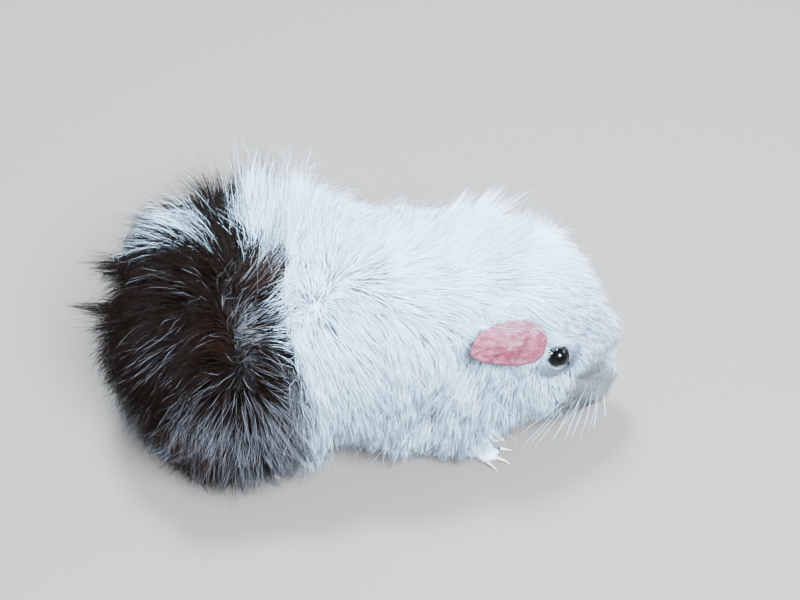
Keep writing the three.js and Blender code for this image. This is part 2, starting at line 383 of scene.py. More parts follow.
def placed_colours(tree, along=None):
    """Puts the coat's colours in a material, fed by the piece's own attributes."""
    colours = tree.nodes.new("ShaderNodeGroup")
    colours.node_tree = COAT_COLOURS
    tree.links.new(attribute(tree, "marking", "Color"), colours.inputs["Marking"])
    if along is None:
        parts = tree.nodes.new("ShaderNodeSeparateXYZ")
        tree.links.new(attribute(tree, "tuft", "Vector"), parts.inputs[0])
        tree.links.new(parts.outputs[0], colours.inputs["Along"])
        tree.links.new(parts.outputs[1], colours.inputs["Chance"])
    else:
        colours.inputs["Along"].default_value = along
        colours.inputs["Chance"].default_value = 0.5
    return colours.outputs["Colour"]


def coat_material():
    material, tree, shader = new_material("coat")
    tree.links.new(placed_colours(tree), shader.inputs["Base Color"])
    set_sockets(shader, Roughness=0.5, Specular_IOR_Level=0.04)
    return material


def skin_material():
    """Short flat fur with the coat's markings, bare pink skin where bare is 1, painted shade in the
    nostrils and the mouth, and a dark ring round the eyes that is partly bare skin and partly painted shade
    of the lids.
    """
    material, tree, shader = new_material("skin")
    blotches = on_piece(tree, "ShaderNodeTexNoise", Scale=260.0, Detail=3.0)
    pink = ramp(tree, blotches, [(0.3, (0.22, 0.10, 0.09)), (0.7, (0.36, 0.20, 0.18))])
    tint = mixed(tree, attribute(tree, "bare"), placed_colours(tree, along=0.62), pink)
    # Painted shade in the nostrils and the mouth, and the dark ring round the eyes.
    tint = mixed(tree, attribute(tree, "shade_and_eye_rim"), tint, (0.035, 0.014, 0.013))
    tree.links.new(tint, shader.inputs["Base Color"])
    set_sockets(shader, Roughness=0.7, Specular_IOR_Level=0.25)
    strokes = on_piece(tree, "ShaderNodeTexNoise", Scale=2200.0, Detail=2.0)
    add_relief(tree, shader, strokes, 0.35, 0.3 * MM)
    return material


def ear_material():
    """Thin bare skin: rosy, darker and redder to its rim and lower edge, with painted shade in its folds,
    and with fine veins and grain.
    """
    material, tree, shader = new_material("ear")
    mottle = on_piece(tree, "ShaderNodeTexNoise", Scale=330.0, Detail=5.0, Roughness=0.65)
    rosy = [(0.3, (0.094, 0.011, 0.020)), (0.5, (0.130, 0.019, 0.032)), (0.72, (0.190, 0.038, 0.055))]
    flesh = ramp(tree, mottle, rosy)
    cells = on_piece(tree, "ShaderNodeTexVoronoi", "Distance", feature="DISTANCE_TO_EDGE", Scale=120.0)
    vein = ramp(tree, cells, [(0.0, (1, 1, 1)), (0.05, (0, 0, 0))])
    flesh = mixed(tree, calculated(tree, "MULTIPLY", vein, 0.22), flesh, (0.12, 0.020, 0.034))
    # The rim attribute darkens the ear's rim and paints shade into its folds.
    flesh = mixed(tree, attribute(tree, "rim"), flesh, (0.060, 0.018, 0.014))
    tree.links.new(flesh, shader.inputs["Base Color"])
    set_sockets(shader, Roughness=0.55, Specular_IOR_Level=0.2, Subsurface_Weight=0.25)
    set_sockets(shader, Subsurface_Radius=(0.004, 0.0015, 0.001))
    grain = on_piece(tree, "ShaderNodeTexNoise", Scale=1500.0, Detail=3.0)
    add_relief(tree, shader, grain, 0.4, 0.4 * MM)
    return material


def eye_material():
    """A wet dark eye: a black pupil in a brown-black iris under a clear gloss."""
    material, tree, shader = new_material("eye")
    pupil, iris, rim = (0.0004, 0.0004, 0.0004), (0.003, 0.0017, 0.0013), (0.0008, 0.0005, 0.0005)
    stops = [(0.42, pupil), (0.5, iris), (0.62, (0.002, 0.0012, 0.001)), (0.75, rim)]
    tree.links.new(ramp(tree, attribute(tree, "zone"), stops), shader.inputs["Base Color"])
    set_sockets(shader, Roughness=0.04, IOR=1.25)
    return material


def lid_material():
    material, tree, shader = new_material("eyelid")
    grain = on_piece(tree, "ShaderNodeTexNoise", Scale=1400.0, Detail=3.0)
    tint = ramp(tree, grain, [(0.3, (0.003, 0.002, 0.002)), (0.75, (0.012, 0.007, 0.0065))])
    tree.links.new(tint, shader.inputs["Base Color"])
    set_sockets(shader, Roughness=0.45, Specular_IOR_Level=0.25)
    add_relief(tree, shader, grain, 0.5, 0.3 * MM)
    return material


def horn_material():
    material, tree, shader = new_material("claw_horn")
    growth = on_piece(tree, "ShaderNodeTexNoise", Scale=900.0, Detail=2.0)
    tint = ramp(tree, growth, [(0.3, (0.24, 0.17, 0.13)), (0.7, (0.44, 0.35, 0.29))])
    tree.links.new(tint, shader.inputs["Base Color"])
    set_sockets(shader, Roughness=0.35)
    return material


# ---- the skin: bare body masses under the coat ----------------------------------------------------
# Middle and half sizes in millimetres, from the ground under the middle of the animal.
BODY_MASSES = [
    ((-78, 0, 60), (34, 46, 43)),  # rump
    ((-52, 0, 61), (42, 52, 46)),  # loins
    ((-14, 0, 60), (50, 50, 47)),  # belly and back
    ((26, 0, 60), (42, 44, 45)),  # chest
    ((52, 1, 70), (32, 34, 36)),  # neck
    ((60, -2, 44), (28, 30, 27)),  # throat
]
for side in SIDES.values():
    BODY_MASSES.append(((-58, side * 34, 42), (34, 25, 30)))  # haunch
    BODY_MASSES.append(((30, side * 27, 36), (24, 15, 26)))  # shoulder and upper foreleg
    BODY_MASSES.append(((46, side * 32, 16), (9, 7.5, 16)))  # wrist
    BODY_MASSES.append(((-72, side * 40, 18), (13, 9, 16)))  # hock
# The same on the head: forward, to the left and up from the middle of the skull.
HEAD_MASSES = [
    ((-2, 0, 2), (31, 23.5, 22)),  # cranium
    ((20, 0, 5), (24, 17, 14)),  # forehead
    ((40.5, 0, -3.5), (22.5, 10.5, 12.5)),  # bridge of the nose
    ((42, 0, -12.5), (19, 13.5, 10.5)),  # muzzle
    ((35, 0, -21), (15.5, 9.5, 8)),  # chin
]
for side in SIDES.values():
    HEAD_MASSES.append(((8, side * 13, -12), (24, 13, 19)))  # cheek
    HEAD_MASSES.append(((27, side * 9, -13), (19, 11, 15)))  # jowl
    HEAD_MASSES.append(((48, side * 6.4, -9.5), (13.5, 8.2, 9)))  # whisker pad
    HEAD_MASSES.append(((14, side * 16.2, 9.6), (12.5, 9.5, 10.5)))  # the eye's socket
# An ear's petal, in the head's own frame: its middle, its way forward and its outer face.
EARS = {
    "right": ((-14.9, 36.1, 19.1), (0.849, -0.42, 0.317), (0.116, 0.736, 0.666)),
    "left": ((-14, 39, 11), (0.88, -0.3, 0.37), (0.1, 0.87, 0.48)),
}
EAR_STALK = ((2, 0, -10), (10, 5.5, 10))  # in the petal's own frame, down to the skull
FOOT_PADS = {
    "forefoot": [((-4, 0, 4.2), (8.2, 5.6, 4.6)), ((-8, 0, 11), (5.8, 5.2, 8.5))],
    "hindfoot": [((-4, 0, 4.3), (20, 6.6, 4.7)), ((-18, 0, 8.6), (10, 6.4, 8.8))],
}
# Each toe: angle from straight ahead, where it starts, its length and its half width.
TOES = {
    "forefoot": [(-30, 1, 10, 2.2), (-11, 3, 11.5, 2.2), (9, 3, 11.5, 2.2), (28, 1, 10, 2.2)],
    "hindfoot": [(-17, 11, 13, 2.7), (0, 13, 14.5, 2.7), (17, 11, 13, 2.7)],
}
FOOT_TURN = {"forefoot_right": -12, "forefoot_left": 8, "hindfoot_right": -8, "hindfoot_left": 8}
VOXEL = 1.4 * MM


def add_ball(bm, where, at, size):
    scale = Matrix.Diagonal((*size, 1)) * MM
    scale[3][3] = 1
    place = where @ Matrix.Translation(Vector(at) * MM) @ scale
    bmesh.ops.create_icosphere(bm, subdivisions=4, radius=1, matrix=place)


def foot_frame(node):
    """The frame of a foot: on the ground under the middle of its solid, x along the foot."""
    spot = middle(node)
    return Matrix.Translation((spot.x, spot.y, 0)) @ Matrix.Rotation(math.radians(FOOT_TURN[node]), 4, "Z")


def ear_frame(name):
    """The frame of an ear: x along its petal towards its round end, z out of its outer face."""
    at, forward, out = EARS[name]
    along = Vector(forward).normalized()
    across = Vector(out).cross(along).normalized()
    turn = Matrix((along, across, along.cross(across))).transposed()
    return head @ Matrix.Diagonal((1, SIDES[name], 1, 1)) @ Matrix.LocRotScale(Vector(at) * MM, turn, None)


def rough_skin():
    bm = bmesh.new()
    for name in SIDES:
        add_ball(bm, ear_frame(name), *EAR_STALK)
    for at, size in BODY_MASSES:
        add_ball(bm, Matrix(), at, size)
    for at, size in HEAD_MASSES:
        add_ball(bm, head, at, size)
    for node in FEET:
        kind = node.split("_")[0]
        for at, size in FOOT_PADS[kind]:
            add_ball(bm, foot_frame(node), at, size)
        for angle, start, length, radius in TOES[kind]:
            along = foot_frame(node) @ Matrix.Rotation(math.radians(angle), 4, "Z")
            add_ball(bm, along, (start + length / 2, 0, radius), (length / 2, radius, radius + 0.2))
    return bm


def eased(values, edges, rounds, pull=0.6):
    """Averages values with their neighbours' along a mesh's edges."""
    ends = np.concatenate([edges, edges[:, ::-1]])
    count = np.bincount(ends[:, 0], minlength=len(values))[:, None]
    flat = values.reshape(len(values), -1).astype(float)
    for _ in range(rounds):
        near = [np.bincount(ends[:, 0], flat[ends[:, 1], k], len(flat)) for k in range(flat.shape[1])]
        flat += pull * (np.stack(near, 1) / np.maximum(count, 1) - flat)
    return flat.reshape(values.shape)


def refine_face(piece, forward, round_eyes):
    """Halves the faces of the muzzle from a place forward, and those round the eyes."""
    bm = bmesh.new()
    bm.from_mesh(piece.data)
    spots = in_head(np.array([v.co for v in bm.verts]))
    fine = spots[:, 0] > forward
    for side in SIDES.values():
        fine |= np.linalg.norm(spots - eye_spot(side), axis=1) < round_eyes
    edges = [e for e in bm.edges if fine[e.verts[0].index] and fine[e.verts[1].index]]
    bmesh.ops.subdivide_edges(bm, edges=edges, cuts=1, use_grid_fill=True)
    bm.to_mesh(piece.data)
    bm.free()


def coat_shell():
    """The coat's outer shape, as the solids of the flesh together."""
    points, faces = [], []
    for node in FLESH:
        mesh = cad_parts[node].data
        start = len(points)
        points += [v.co.copy() for v in mesh.vertices]
        faces += [[start + i for i in face.vertices] for face in mesh.polygons]
    return BVHTree.FromPolygons(points, faces)


REACH = 60 * MM  # how far out from the skin the coat's surface is looked for
CUT = 1.2 * MM  # the cuts between the solids are narrower than this
THINNEST_COAT = 0.7 * MM
DEEPEST_COAT = 36 * MM


def depth_of_coat(points, outward):
    """How far the coat's surface stands over each point of the skin, along its normal."""
    shell = coat_shell()
    depth = np.zeros(len(points))
    for i, (point, out) in enumerate(zip(points, outward)):
        start, out = Vector(point), Vector(out)
        at = 0.0
        while at < REACH:
            hit, normal, _, further = shell.ray_cast(start + out * at, out, REACH - at)
            if hit is None:
                break
            leaving = normal.dot(out) > 0
            if not leaving and at + further - depth[i] > CUT:
                break
            at += further + 0.01 * MM
            if leaving:
                depth[i] = at
    return np.clip(depth, 0, DEEPEST_COAT)


def coat_on_head(spots):
    """How thick the coat is over the head in millimetres: thin before the ears, thinnest on the nose."""
    x, y, z = spots.T
    thick = 11 - 5.5 * smoothstep(x, -5, 16)
    thick -= 3.9 * smoothstep(x - 0.35 * z, 18, 34)
    thick += 9 * np.exp(-(((x - 30) / 16) ** 2 + ((y - 9) / 14) ** 2 + ((z - 17) / 8) ** 2))
    thick += 6 * smoothstep(-z - 0.3 * x, 14, 30) * (1 - smoothstep(x, 38, 48))
    for side in SIDES.values():
        near = bump(spots, eye_spot(side), 12)
        thick = thick * (1 - near) + 2.2 * near
    return thick


def fit_head(mesh):
    """Brings the bare head up to the coat's surface, as far as the coat over it is thick."""
    points = coordinates(mesh)
    edges = edges_of(mesh)
    outward = unit(eased(normals_of(mesh), edges, 6))
    spots = in_head(points)
    on_it = smoothstep(spots[:, 0], -22, -4) * smoothstep(spots[:, 2], -48, -38)
    on_it *= 1 - smoothstep(spots[:, 0], 12, 26) * smoothstep(spots[:, 2] + 0.3 * spots[:, 0], 4, 14)
    shift = depth_of_coat(points, outward) / MM - coat_on_head(spots)
    shift = eased(np.clip(shift, -5, 3.5) * on_it, edges, 30)
    move_points(mesh, points + outward * shift[:, None] * MM)


NOSE_TIP = (62.5, 0, -3)
NOSTRIL_AT = (62, 3.6, -4.6)
LEATHER_AT = (62.5, 0, -6)


def nostrils(spots):
    """1 in the nostrils, two slits that run up and outwards from the middle of the nose."""
    deep = np.zeros(len(spots))
    for side in SIDES.values():
        slant = spots - np.array(NOSTRIL_AT) * (1, side, 1)
        slant[:, 2] -= 0.5 * (np.abs(spots[:, 1]) - NOSTRIL_AT[1])
        deep = np.maximum(deep, bump(slant * (0.35, 0.62, 1.35), (0, 0, 0), 1.5))
    return deep


def mouth(spots):
    """1 along the split of the upper lip and the line of the mouth under it."""
    front = smoothstep(spots[:, 0], 36, 48)
    split = bell(spots[:, 1], 0.7) * smoothstep(-spots[:, 2], 6, 9) * front
    split *= 1 - smoothstep(-spots[:, 2], 21, 24)
    level = -20.5 + 0.28 * (spots[:, 0] - 50) - 0.05 * np.abs(spots[:, 1]) ** 1.5
    line = bell(spots[:, 2] - level, 0.9) * smoothstep(spots[:, 0], 34, 42)
    return np.maximum(0.8 * split, line * (1 - smoothstep(np.abs(spots[:, 1]), 9, 13)))


def sculpt_face(mesh):
    """Presses in the nostrils, the split lip and the mouth, and raises the brows and the lids' bed."""
    points = coordinates(mesh)
    outward = normals_of(mesh)
    spots = in_head(points)
    height = np.zeros(len(points))
    for side in SIDES.values():
        eye = eye_spot(side)
        height += 1.1 * bump(spots, eye + (2, side, 6.5), 5.5)  # brow
        height -= 0.9 * bump(spots, eye + (11, -side, -5), 6)  # tear hollow
        nostril = np.array(NOSTRIL_AT) * (1, side, 1)
        height += bump(spots, nostril + (0.5, 1.2 * side, 2.6), 2.4)  # wing over it
        height += 0.5 * bump(spots, nostril + (0.5, -0.6 * side, -2.4), 1.8)  # its lower edge
        height += 0.8 * bump(spots, nostril + (-4, 5 * side, -7), 5)  # full upper lip
    height -= 0.7 * bell(spots[:, 1], 1.1) * bump(spots, NOSE_TIP, 5)
    height -= 3.0 * nostrils(spots) + 1.8 * mouth(spots)
    points += outward * height[:, None] * MM
    for side in SIDES.values():
        x, y, z = in_eye(points, side).T
        off_axis = np.hypot(x, y)
        # The skin comes up to the lids all round, and falls away from them.
        level = 0.9 - 0.06 * np.maximum(off_axis - 5.4, 0) ** 2
        lift = np.clip(level - z, 0, 4.5) * (1 - smoothstep(off_axis, 7.5, 12)) * (z > -9)
        points += np.array(eye_frame(side).to_3x3())[:, 2] * (lift * MM)[:, None]
    move_points(mesh, points)


def make_skin():
    skin = new_piece("skin", as_mesh("skin", rough_skin()), skin_material())
    remesh = skin.modifiers.new("Remesh", "REMESH")
    remesh.mode = "VOXEL"
    remesh.voxel_size = VOXEL
    settle(skin)
    mesh = skin.data
    points = coordinates(mesh)
    edges = edges_of(mesh)
    above_feet = smoothstep(points[:, 2], 12 * MM, 24 * MM)[:, None]  # the feet keep their toes
    points = eased(points, edges, 2) * (1 - above_feet) + eased(points, edges, 14) * above_feet
    points[:, 2] = np.maximum(points[:, 2], 0)
    move_points(mesh, points)
    fit_head(mesh)
    refine_face(skin, 24, 12)
    refine_face(skin, 53, 0)
    sculpt_face(mesh)
    return skin


# ---- fields over the skin: coat depth, lie of the hair, markings ------------------------------------
# Whorls that the hair runs out from, each a short parting between two points, and places with the way
# the hair lies there: x, y, z in millimetres, then the lie. MANE_LIE and CHEEK_LIE are in the head's
# own frame. FLANK_LIE and CHEEK_LIE are for the right side, and the left is their mirror image.
WHORLS = [
    ((-67, -9, 122), (-67, -9, 122)),
    ((-82, -31, 113), (-82, -31, 113)),
    ((-60, -61, 84), (-60, -61, 84)),
    ((-56, -40, 112), (-55, -53, 100)),
    ((-20, -26, 112), (-2, -9, 117)),
    ((-84, 40, 110), (-78, 48, 103)),
    ((-56, 64, 84), (-56, 64, 84)),
]
BACK_LIE = [
    ((6, 4, 118), (0.6, 0.8, 0)),
    ((12, -14, 116), (0.9, -0.45, -0.1)),
    ((34, 12, 117), (0.6, 0.75, 0)),
    ((46, 18, 115), (0.6, 0.75, 0.2)),
    ((57, 10, 116), (0.75, 0.6, 0.1)),
    ((-80, 42, 108), (-0.6, 0.75, 0.2)),
    ((-68, 46, 107), (-0.25, 0.9, 0.2)),
    ((-57, 48, 105), (-0.15, 0.9, 0.2)),
    ((-30, 44, 106), (0.25, 0.9, 0.1)),
    ((-8, 36, 108), (0.8, 0.4, -0.3)),
    ((-113, -4, 106), (-1, 0.05, 0.1)),
    ((-117, -16, 96), (-1, 0, 0)),
    ((-110, -38, 98), (-0.75, -0.2, -0.6)),
    ((38, -26, 111), (1, 0.1, 0)),
    ((19, -18, 116), (0.93, 0.36, 0)),
    ((-30, 23, 117), (0, 0.9, -0.3)),
    ((-12, 17, 116), (0.2, 0.9, -0.3)),
    ((-44, 22, 118), (-0.2, 0.9, -0.3)),
    ((-40, -14, 118), (0.5, 0.8, 0)),
    ((-44, -30, 115), (0.75, 0.65, 0)),
    ((-98, -36, 109), (-0.9, 0.1, -0.4)),
    ((-105, -10, 115), (-0.9, 0.1, -0.4)),
    ((-108, 20, 105), (-0.85, 0.2, -0.5)),
    ((-103, -57, 89), (-0.6, 0.1, -0.8)),
]
FLANK_LIE = [
    ((12, -40, 105), (0.5, -0.6, -0.6)),
    ((24, -46, 98), (0.5, -0.4, -0.75)),
    ((-9, -51, 92), (0.5, -0.5, -0.7)),
    ((12, -58, 82), (0.15, -0.25, -0.95)),
    ((19, -63, 55), (-0.05, 0.1, -1)),
    ((-10, -66, 55), (0.1, 0, -1)),
    ((0, -62, 28), (-0.3, 0.2, -0.9)),
    ((-60, -78, 45), (0, 0, -1)),
    ((-95, -62, 50), (-0.3, 0, -0.95)),
    ((-112, -25, 60), (-0.3, 0, -0.95)),
    ((0, -20, 6), (-1, -0.2, 0)),
    ((-60, -20, 6), (-1, -0.2, 0)),
    ((50, -10, 12), (-1, -0.1, 0)),
]
MANE_LIE = [
    ((-28, 5, 35), (0.75, 0.6, 0.2)),
    ((-14, -12, 36), (0.85, 0.4, 0.1)),
    ((-36, -28, 23), (0.95, 0.1, 0.1)),
    ((-3, -13, 33), (0.95, 0.25, 0)),
    ((19, -6, 28), (0.95, 0.2, -0.1)),
    ((34, -6, 18), (1, 0, -0.1)),
    ((46, -4, 14), (1, 0, -0.3)),
]
CHEEK_LIE = [
    ((-30, -47, 4), (0, -0.4, -0.9)),
    ((-18, -48, -5), (-0.5, -0.5, -0.6)),
    ((-6, -54, -28), (-0.1, -0.2, -1)),
    ((10, -49, -34), (0.3, 0.2, -0.9)),
    ((12, -39, -6), (0.7, -0.1, -0.7)),
    ((25, -34, -5), (0.35, 0.1, -0.9)),
    ((5, -43, -12), (0.3, -0.2, -0.9)),
    ((22, -27, 6), (0.15, -0.1, -0.95)),
    ((30, -27, -25), (0.2, 0, -1)),
    ((36, -16, 6), (-0.3, -0.6, -0.7)),
    ((28, -19, -4), (0.15, -0.1, -0.95)),
    ((34, -17, -12), (0.25, -0.1, -0.95)),
    ((54, -6, 4), (-0.85, -0.35, -0.1)),
    ((54, -13, -8), (-0.7, -0.3, -0.6)),
    ((48, -15, -14), (-0.5, -0.2, -0.8)),
    ((45, -10, -26), (0.3, 0, -0.9)),
    ((17, -10, -60), (-0.6, 0, -0.7)),
]
CHEEK_WHORL = (2, -40, -3)
BLUR = 7 * MM  # over how far one lie of the hair turns into the next
WHORL_CORE = 8 * MM  # inside this the hair of a whorl stands up
HAIR_WEIGHT = 0.22  # how far its own weight turns the hair down


def groom_sites():
    """Every whorl and lie on both sides: place, the other end of a whorl's parting, direction."""
    mirror = Matrix.Diagonal((1, -1, 1))
    sites = [(Vector(a) * MM, Vector(b) * MM, None) for a, b in WHORLS]
    for side in SIDES.values():
        core = on_head(CHEEK_WHORL[0], -side * CHEEK_WHORL[1], CHEEK_WHORL[2])
        sites.append((core, core, None))
    sites += [(Vector(at) * MM, None, Vector(lie)) for at, lie in BACK_LIE]
    for at, lie in FLANK_LIE:
        sites.append((Vector(at) * MM, None, Vector(lie)))
        sites.append((mirror @ Vector(at) * MM, None, mirror @ Vector(lie)))
    sites += [(on_head(*at), None, head_turn @ Vector(lie)) for at, lie in MANE_LIE]
    for at, lie in MANE_LIE[1:] + CHEEK_LIE:
        sites.append((on_head(*at), None, head_turn @ Vector(lie)))
        sites.append((on_head(*(mirror @ Vector(at))), None, head_turn @ (mirror @ Vector(lie))))
    return sites


def lie_of_hair(points, outward, tree):
    """The way the hair lies at each point of the skin, shorter where the hair there disagrees."""
    distances, ways, sizes = [], [], []
    for start, end, lie in groom_sites():
        start = np.array(tree.find(start)[0])
        end = start if end is None else np.array(tree.find(end)[0])
        away = from_line(points, start, end)
        distance = np.linalg.norm(away, axis=1)
        distances.append(distance)
        if lie is None:
            ways.append(unit(away - outward * dot(away, outward)))
            sizes.append(smoothstep(distance, 0.15 * WHORL_CORE, 1.6 * WHORL_CORE))
        else:
            way = np.tile(lie.normalized(), (len(points), 1))
            ways.append(unit(way - outward * dot(way, outward)))
            sizes.append(np.ones(len(points)))
    nearest = np.min(distances, axis=0)
    total = np.zeros_like(points)
    weights = np.zeros(len(points))
    for distance, way, size in zip(distances, ways, sizes):
        weight = np.exp(-(distance - nearest) / BLUR)
        total += way * (weight * size)[:, None]
        weights += weight
    total /= weights[:, None]
    for side in SIDES.values():
        away = points - np.array(on_head(*(eye_spot(side) + (0, 0, 1))))
        near = bell(np.linalg.norm(away, axis=1), 11 * MM)
        total += unit(away - outward * dot(away, outward)) * 1.2 * near[:, None]
    fall = np.array([0, 0, -HAIR_WEIGHT]) - outward * (-HAIR_WEIGHT * outward[:, 2:3])
    return total + fall * np.linalg.norm(total, axis=1, keepdims=True)


# The fold where the cheek's coat meets the shoulder's, from behind the ear down, on the right side.
CREASE = [(55, -40, 90), (50, -46, 82), (43, -53, 74), (37, -58, 64), (34, -60, 50)]


def from_crease(points):
    """How far each point of the coat's surface is from the folds behind the cheeks."""
    nearest = np.full(len(points), np.inf)
    for side in SIDES.values():
        line = np.array(CREASE) * (1, -side, 1) * MM
        for start, end in zip(line, line[1:]):
            nearest = np.minimum(nearest, np.linalg.norm(from_line(points, start, end), axis=1))
    return nearest


def hill(places, at, size):
    """1 in the middle of a soft patch, falling to 0 at about its size, and below 0 outside."""
    away = [((place - spot) / reach) ** 2 for place, spot, reach in zip(places.T, at, size)]
    return 1 - np.sqrt(sum(away))


# Soft patches of a marking: how strong, middle and size in millimetres, how steep their sides are.
TICKED = [
    (0.75, (-50, -70, 62), (48, 30, 50), 1.6),  # near flank
    (0.22, (-48, -34, 110), (22, 26, 24), 1.5),  # beside the spine
    (0.4, (-88, -48, 104), (11, 14, 16), 1.5),  # top of the haunch
]
RUSTY = [
    (0.9, (-42, -10, 118), (16, 15, 16), 1.3),  # spine
    (0.9, (-35, -70, 60), (11, 14, 12), 1.3),  # near flank
    (0.7, (-88, -72, 45), (26, 24, 26), 1.3),  # haunch
    (0.4, (-60, -44, 108), (18, 16, 18), 1.0),  # beside the spine
]
# The same in the head's own frame, for both sides. The muzzle's tan is partly painted shade under the
# forelock.
FACE_CREAM_AND_SHADE = [
    (1.5, (46, 13, -6), (27, 16, 19), 1.4),  # muzzle
    # Painted shade under the ear.
    (0.9, (-8, 38, 8), (22, 10, 9), 1.6),  # under the ear
]


def patched(base, places, patches):
    """A marking with soft patches added to it."""
    for amount, at, size, steepness in patches:
        base = base + amount * np.clip(hill(places, at, size) * steepness, 0, 1)
    return base


def markings(points):
    """Brown, ticked and rust, each from 0 to 1, for places in metres on the coat; under white fur, rust
    holds a creamy tinge and painted shade.
    """
    places = points / MM
    x, y, z = places.T
    ragged = 4.5 * cloudy(points, 10 * MM, 3.0) + 2.5 * cloudy(points, 3.5 * MM, 9.0)
    # The edge of the brown hindquarters, from the spine down the near flank.
    edge = -33 - 6 * bell(y + 25, 12)
    edge += 9 * smoothstep(-z, -98, -84)
    edge -= 2 * smoothstep(-z, -70, -40)
    edge -= 26 * smoothstep(y + 0.35 * (x + 45), -2, 5) * (1 - smoothstep(y, 42, 62))
    brown = smoothstep(edge + ragged - x, -5, 5)
    # The white patch on the far side of the rump, and the small one over the right heel.
    patch = hill(places, (-86, 24, 114), (18, 23, 30))
    patch = np.minimum(patch, (-69 - 0.4 * (y - 8) - x) / 20)
    # Dark hairs are mixed into the patch: its own mix of hair, and also painted shade over it.
    whiter = 0.56 + 0.2 * cloudy(points, 6 * MM, 31.0) - 0.35 * smoothstep(y, 22, 40)
    brown *= 1 - whiter * smoothstep(patch + ragged * 0.035, -0.04, 0.24)
    heel = hill(places, (-100, -44, 20), (12, 17, 12))
    brown *= 1 - smoothstep(heel + ragged * 0.02, 0, 0.2)
    spots = in_head(points)
    for side in SIDES.values():
        # Dark hairs edge the lids, most of all at the corner towards the nose.
        brown = np.maximum(brown, 0.7 * (1 - smoothstep(from_gaze(points, side), 5.8, 6.8)))
        brown = np.maximum(brown, 0.9 * bump(spots, eye_spot(side) + (7, 0, -1), 3.4))
    ticked = patched(0.04, places, TICKED)
    ticked += 0.5 * bell(edge - 6 - x, 13) * smoothstep(-y, 12, 28)
    rust = patched(0.16, places, RUSTY)
    # Under white fur the same channel is a creamy tinge, and painted shade along the folds behind the
    # cheeks, round the eyes, under the ears and over the front of the face.
    cream_and_shade = 0.5 * np.clip(hill(places, (-8, -4, 117), (16, 12, 12)), 0, 1)
    cream_and_shade *= 0.6 + cloudy(points, 5 * MM, 5.0)
    forward, across, up = spots.T
    cream_and_shade = patched(cream_and_shade, np.column_stack([forward, np.abs(across), up]), FACE_CREAM_AND_SHADE)
    # Painted shade under the forelock over the front of the face, on the muzzle's tan.
    cream_and_shade += 0.9 * smoothstep(forward, 30, 42) * (1 - smoothstep(up, 17, 24))
    # Painted shade along the folds behind the cheeks.
    cream_and_shade += 0.6 * bell(from_crease(points), 5 * MM)
    # Painted shade in the fur round the eyes.
    for side in SIDES.values():
        cream_and_shade += 0.5 * (1 - smoothstep(from_gaze(points, side), 6, 8))
    cream_and_shade *= 0.75 + 0.5 * cloudy(points, 4 * MM, 13.0)
    rust = rust * brown + np.clip(cream_and_shade, 0, 0.9) * (1 - brown)
    return np.stack([brown, np.clip(ticked, 0, 1), np.clip(rust, 0, 1)], 1)


# Where the coat stands up: place in millimetres, reach, how much, and how much longer it is there.
STANDING = [
    ((-76, 42, 108), 17, 0.7, 7),
    ((-55, 46, 106), 20, 0.75, 8),
    ((-32, 42, 108), 18, 0.7, 8),
    ((-104, 14, 108), 18, 0.45, 4),
    ((66, 16, 108), 13, 0.4, 5),
    ((80, 14, 100), 13, 0.5, 6),
    ((92, 6, 92), 11, 0.3, 4),
    ((42, -44, 86), 8, 0.55, 3),
    ((34, -54, 70), 8, 0.55, 3),
    ((26, -60, 55), 8, 0.45, 3),
]
# Locks that leave the coat and run straight on: place in millimetres, reach, direction, how much of
# the hair there does, and how much longer it is.
LOCKS = [
    (on_head(20, 5, 21) / MM, 9, head_turn @ Vector((1, 0, 0.05)), 1.0, 12),
    (on_head(14, -7, 21) / MM, 8, head_turn @ Vector((0.90, 0.38, 0.12)), 0.9, 9),
    ((34, 15, 117), 7, (0.57, 0.69, 0.47), 0.75, 7),
    ((44, 13, 117), 6, (0.57, 0.67, 0.5), 0.7, 10),
    ((60, 12, 113), 6, (0.7, 0.55, 0.35), 0.7, 4),
    ((-108, 6, 106), 11, (-1, 0.12, 0.14), 1.0, 9),
    ((-112, -18, 100), 9, (-1, 0.10, 0.10), 1.0, 10),
    ((-106, -50, 84), 16, (-0.75, -0.3, -0.5), 0.5, 2),
]
for side in SIDES.values():
    LOCKS.append((on_head(35, side * 17, -13) / MM, 10, (0.1, side * 0.14, -1), 0.95, 6))
    LOCKS.append((on_head(18, side * 30, -22) / MM, 12, (0.05, side * 0.18, -1), 0.8, 5))


def hair_length(points):
    """The coat's length in metres at each place."""
    x, _, z = points.T / MM
    spots = in_head(points)
    # Longest over the rump and along the back.
    length = 26 + 9 * smoothstep(-x, 20, 70) + 3 * smoothstep(z, 90, 110)
    forward, across, up = spots.T
    crown = smoothstep(forward, -40, 5)
    face = smoothstep(forward + 0.84 * up, 27, 37) * (1 - smoothstep(up - 0.2 * forward, 3, 9))
    beard = smoothstep(-up - 0.1 * forward, 0, 9) * smoothstep(forward, -20, 5)
    beard *= 0.35 + 0.65 * smoothstep(np.abs(across), 5, 12)
    chin = smoothstep(forward, 22, 34) * smoothstep(-up, 12, 20) * (1 - smoothstep(np.abs(across), 6, 12))
    length = length * (1 - crown) + (23 + 4 * smoothstep(up, 8, 22) + 8 * beard) * crown
    # The mane ends in a forelock over the bridge of the nose.
    length *= 1 - 0.55 * smoothstep(forward, 4, 24) * (1 - smoothstep(across, 4, 12))
    # The face has short fur, shortest at its front, by the eyes and on the feet.
    length = length * (1 - face) + (5.0 - 2.2 * smoothstep(forward, 40, 56)) * face
    length = length * (1 - chin) + np.minimum(length, 11) * chin
    for side in SIDES.values():
        near = 1 - smoothstep(np.linalg.norm(spots - eye_spot(side), axis=1), 8.5, 17)
        length = length * (1 - near) + 2.6 * near
    feet = 1 - smoothstep(points[:, 2] / MM, 9, 24)
    return (length * (1 - feet) + 3.2 * feet) * MM


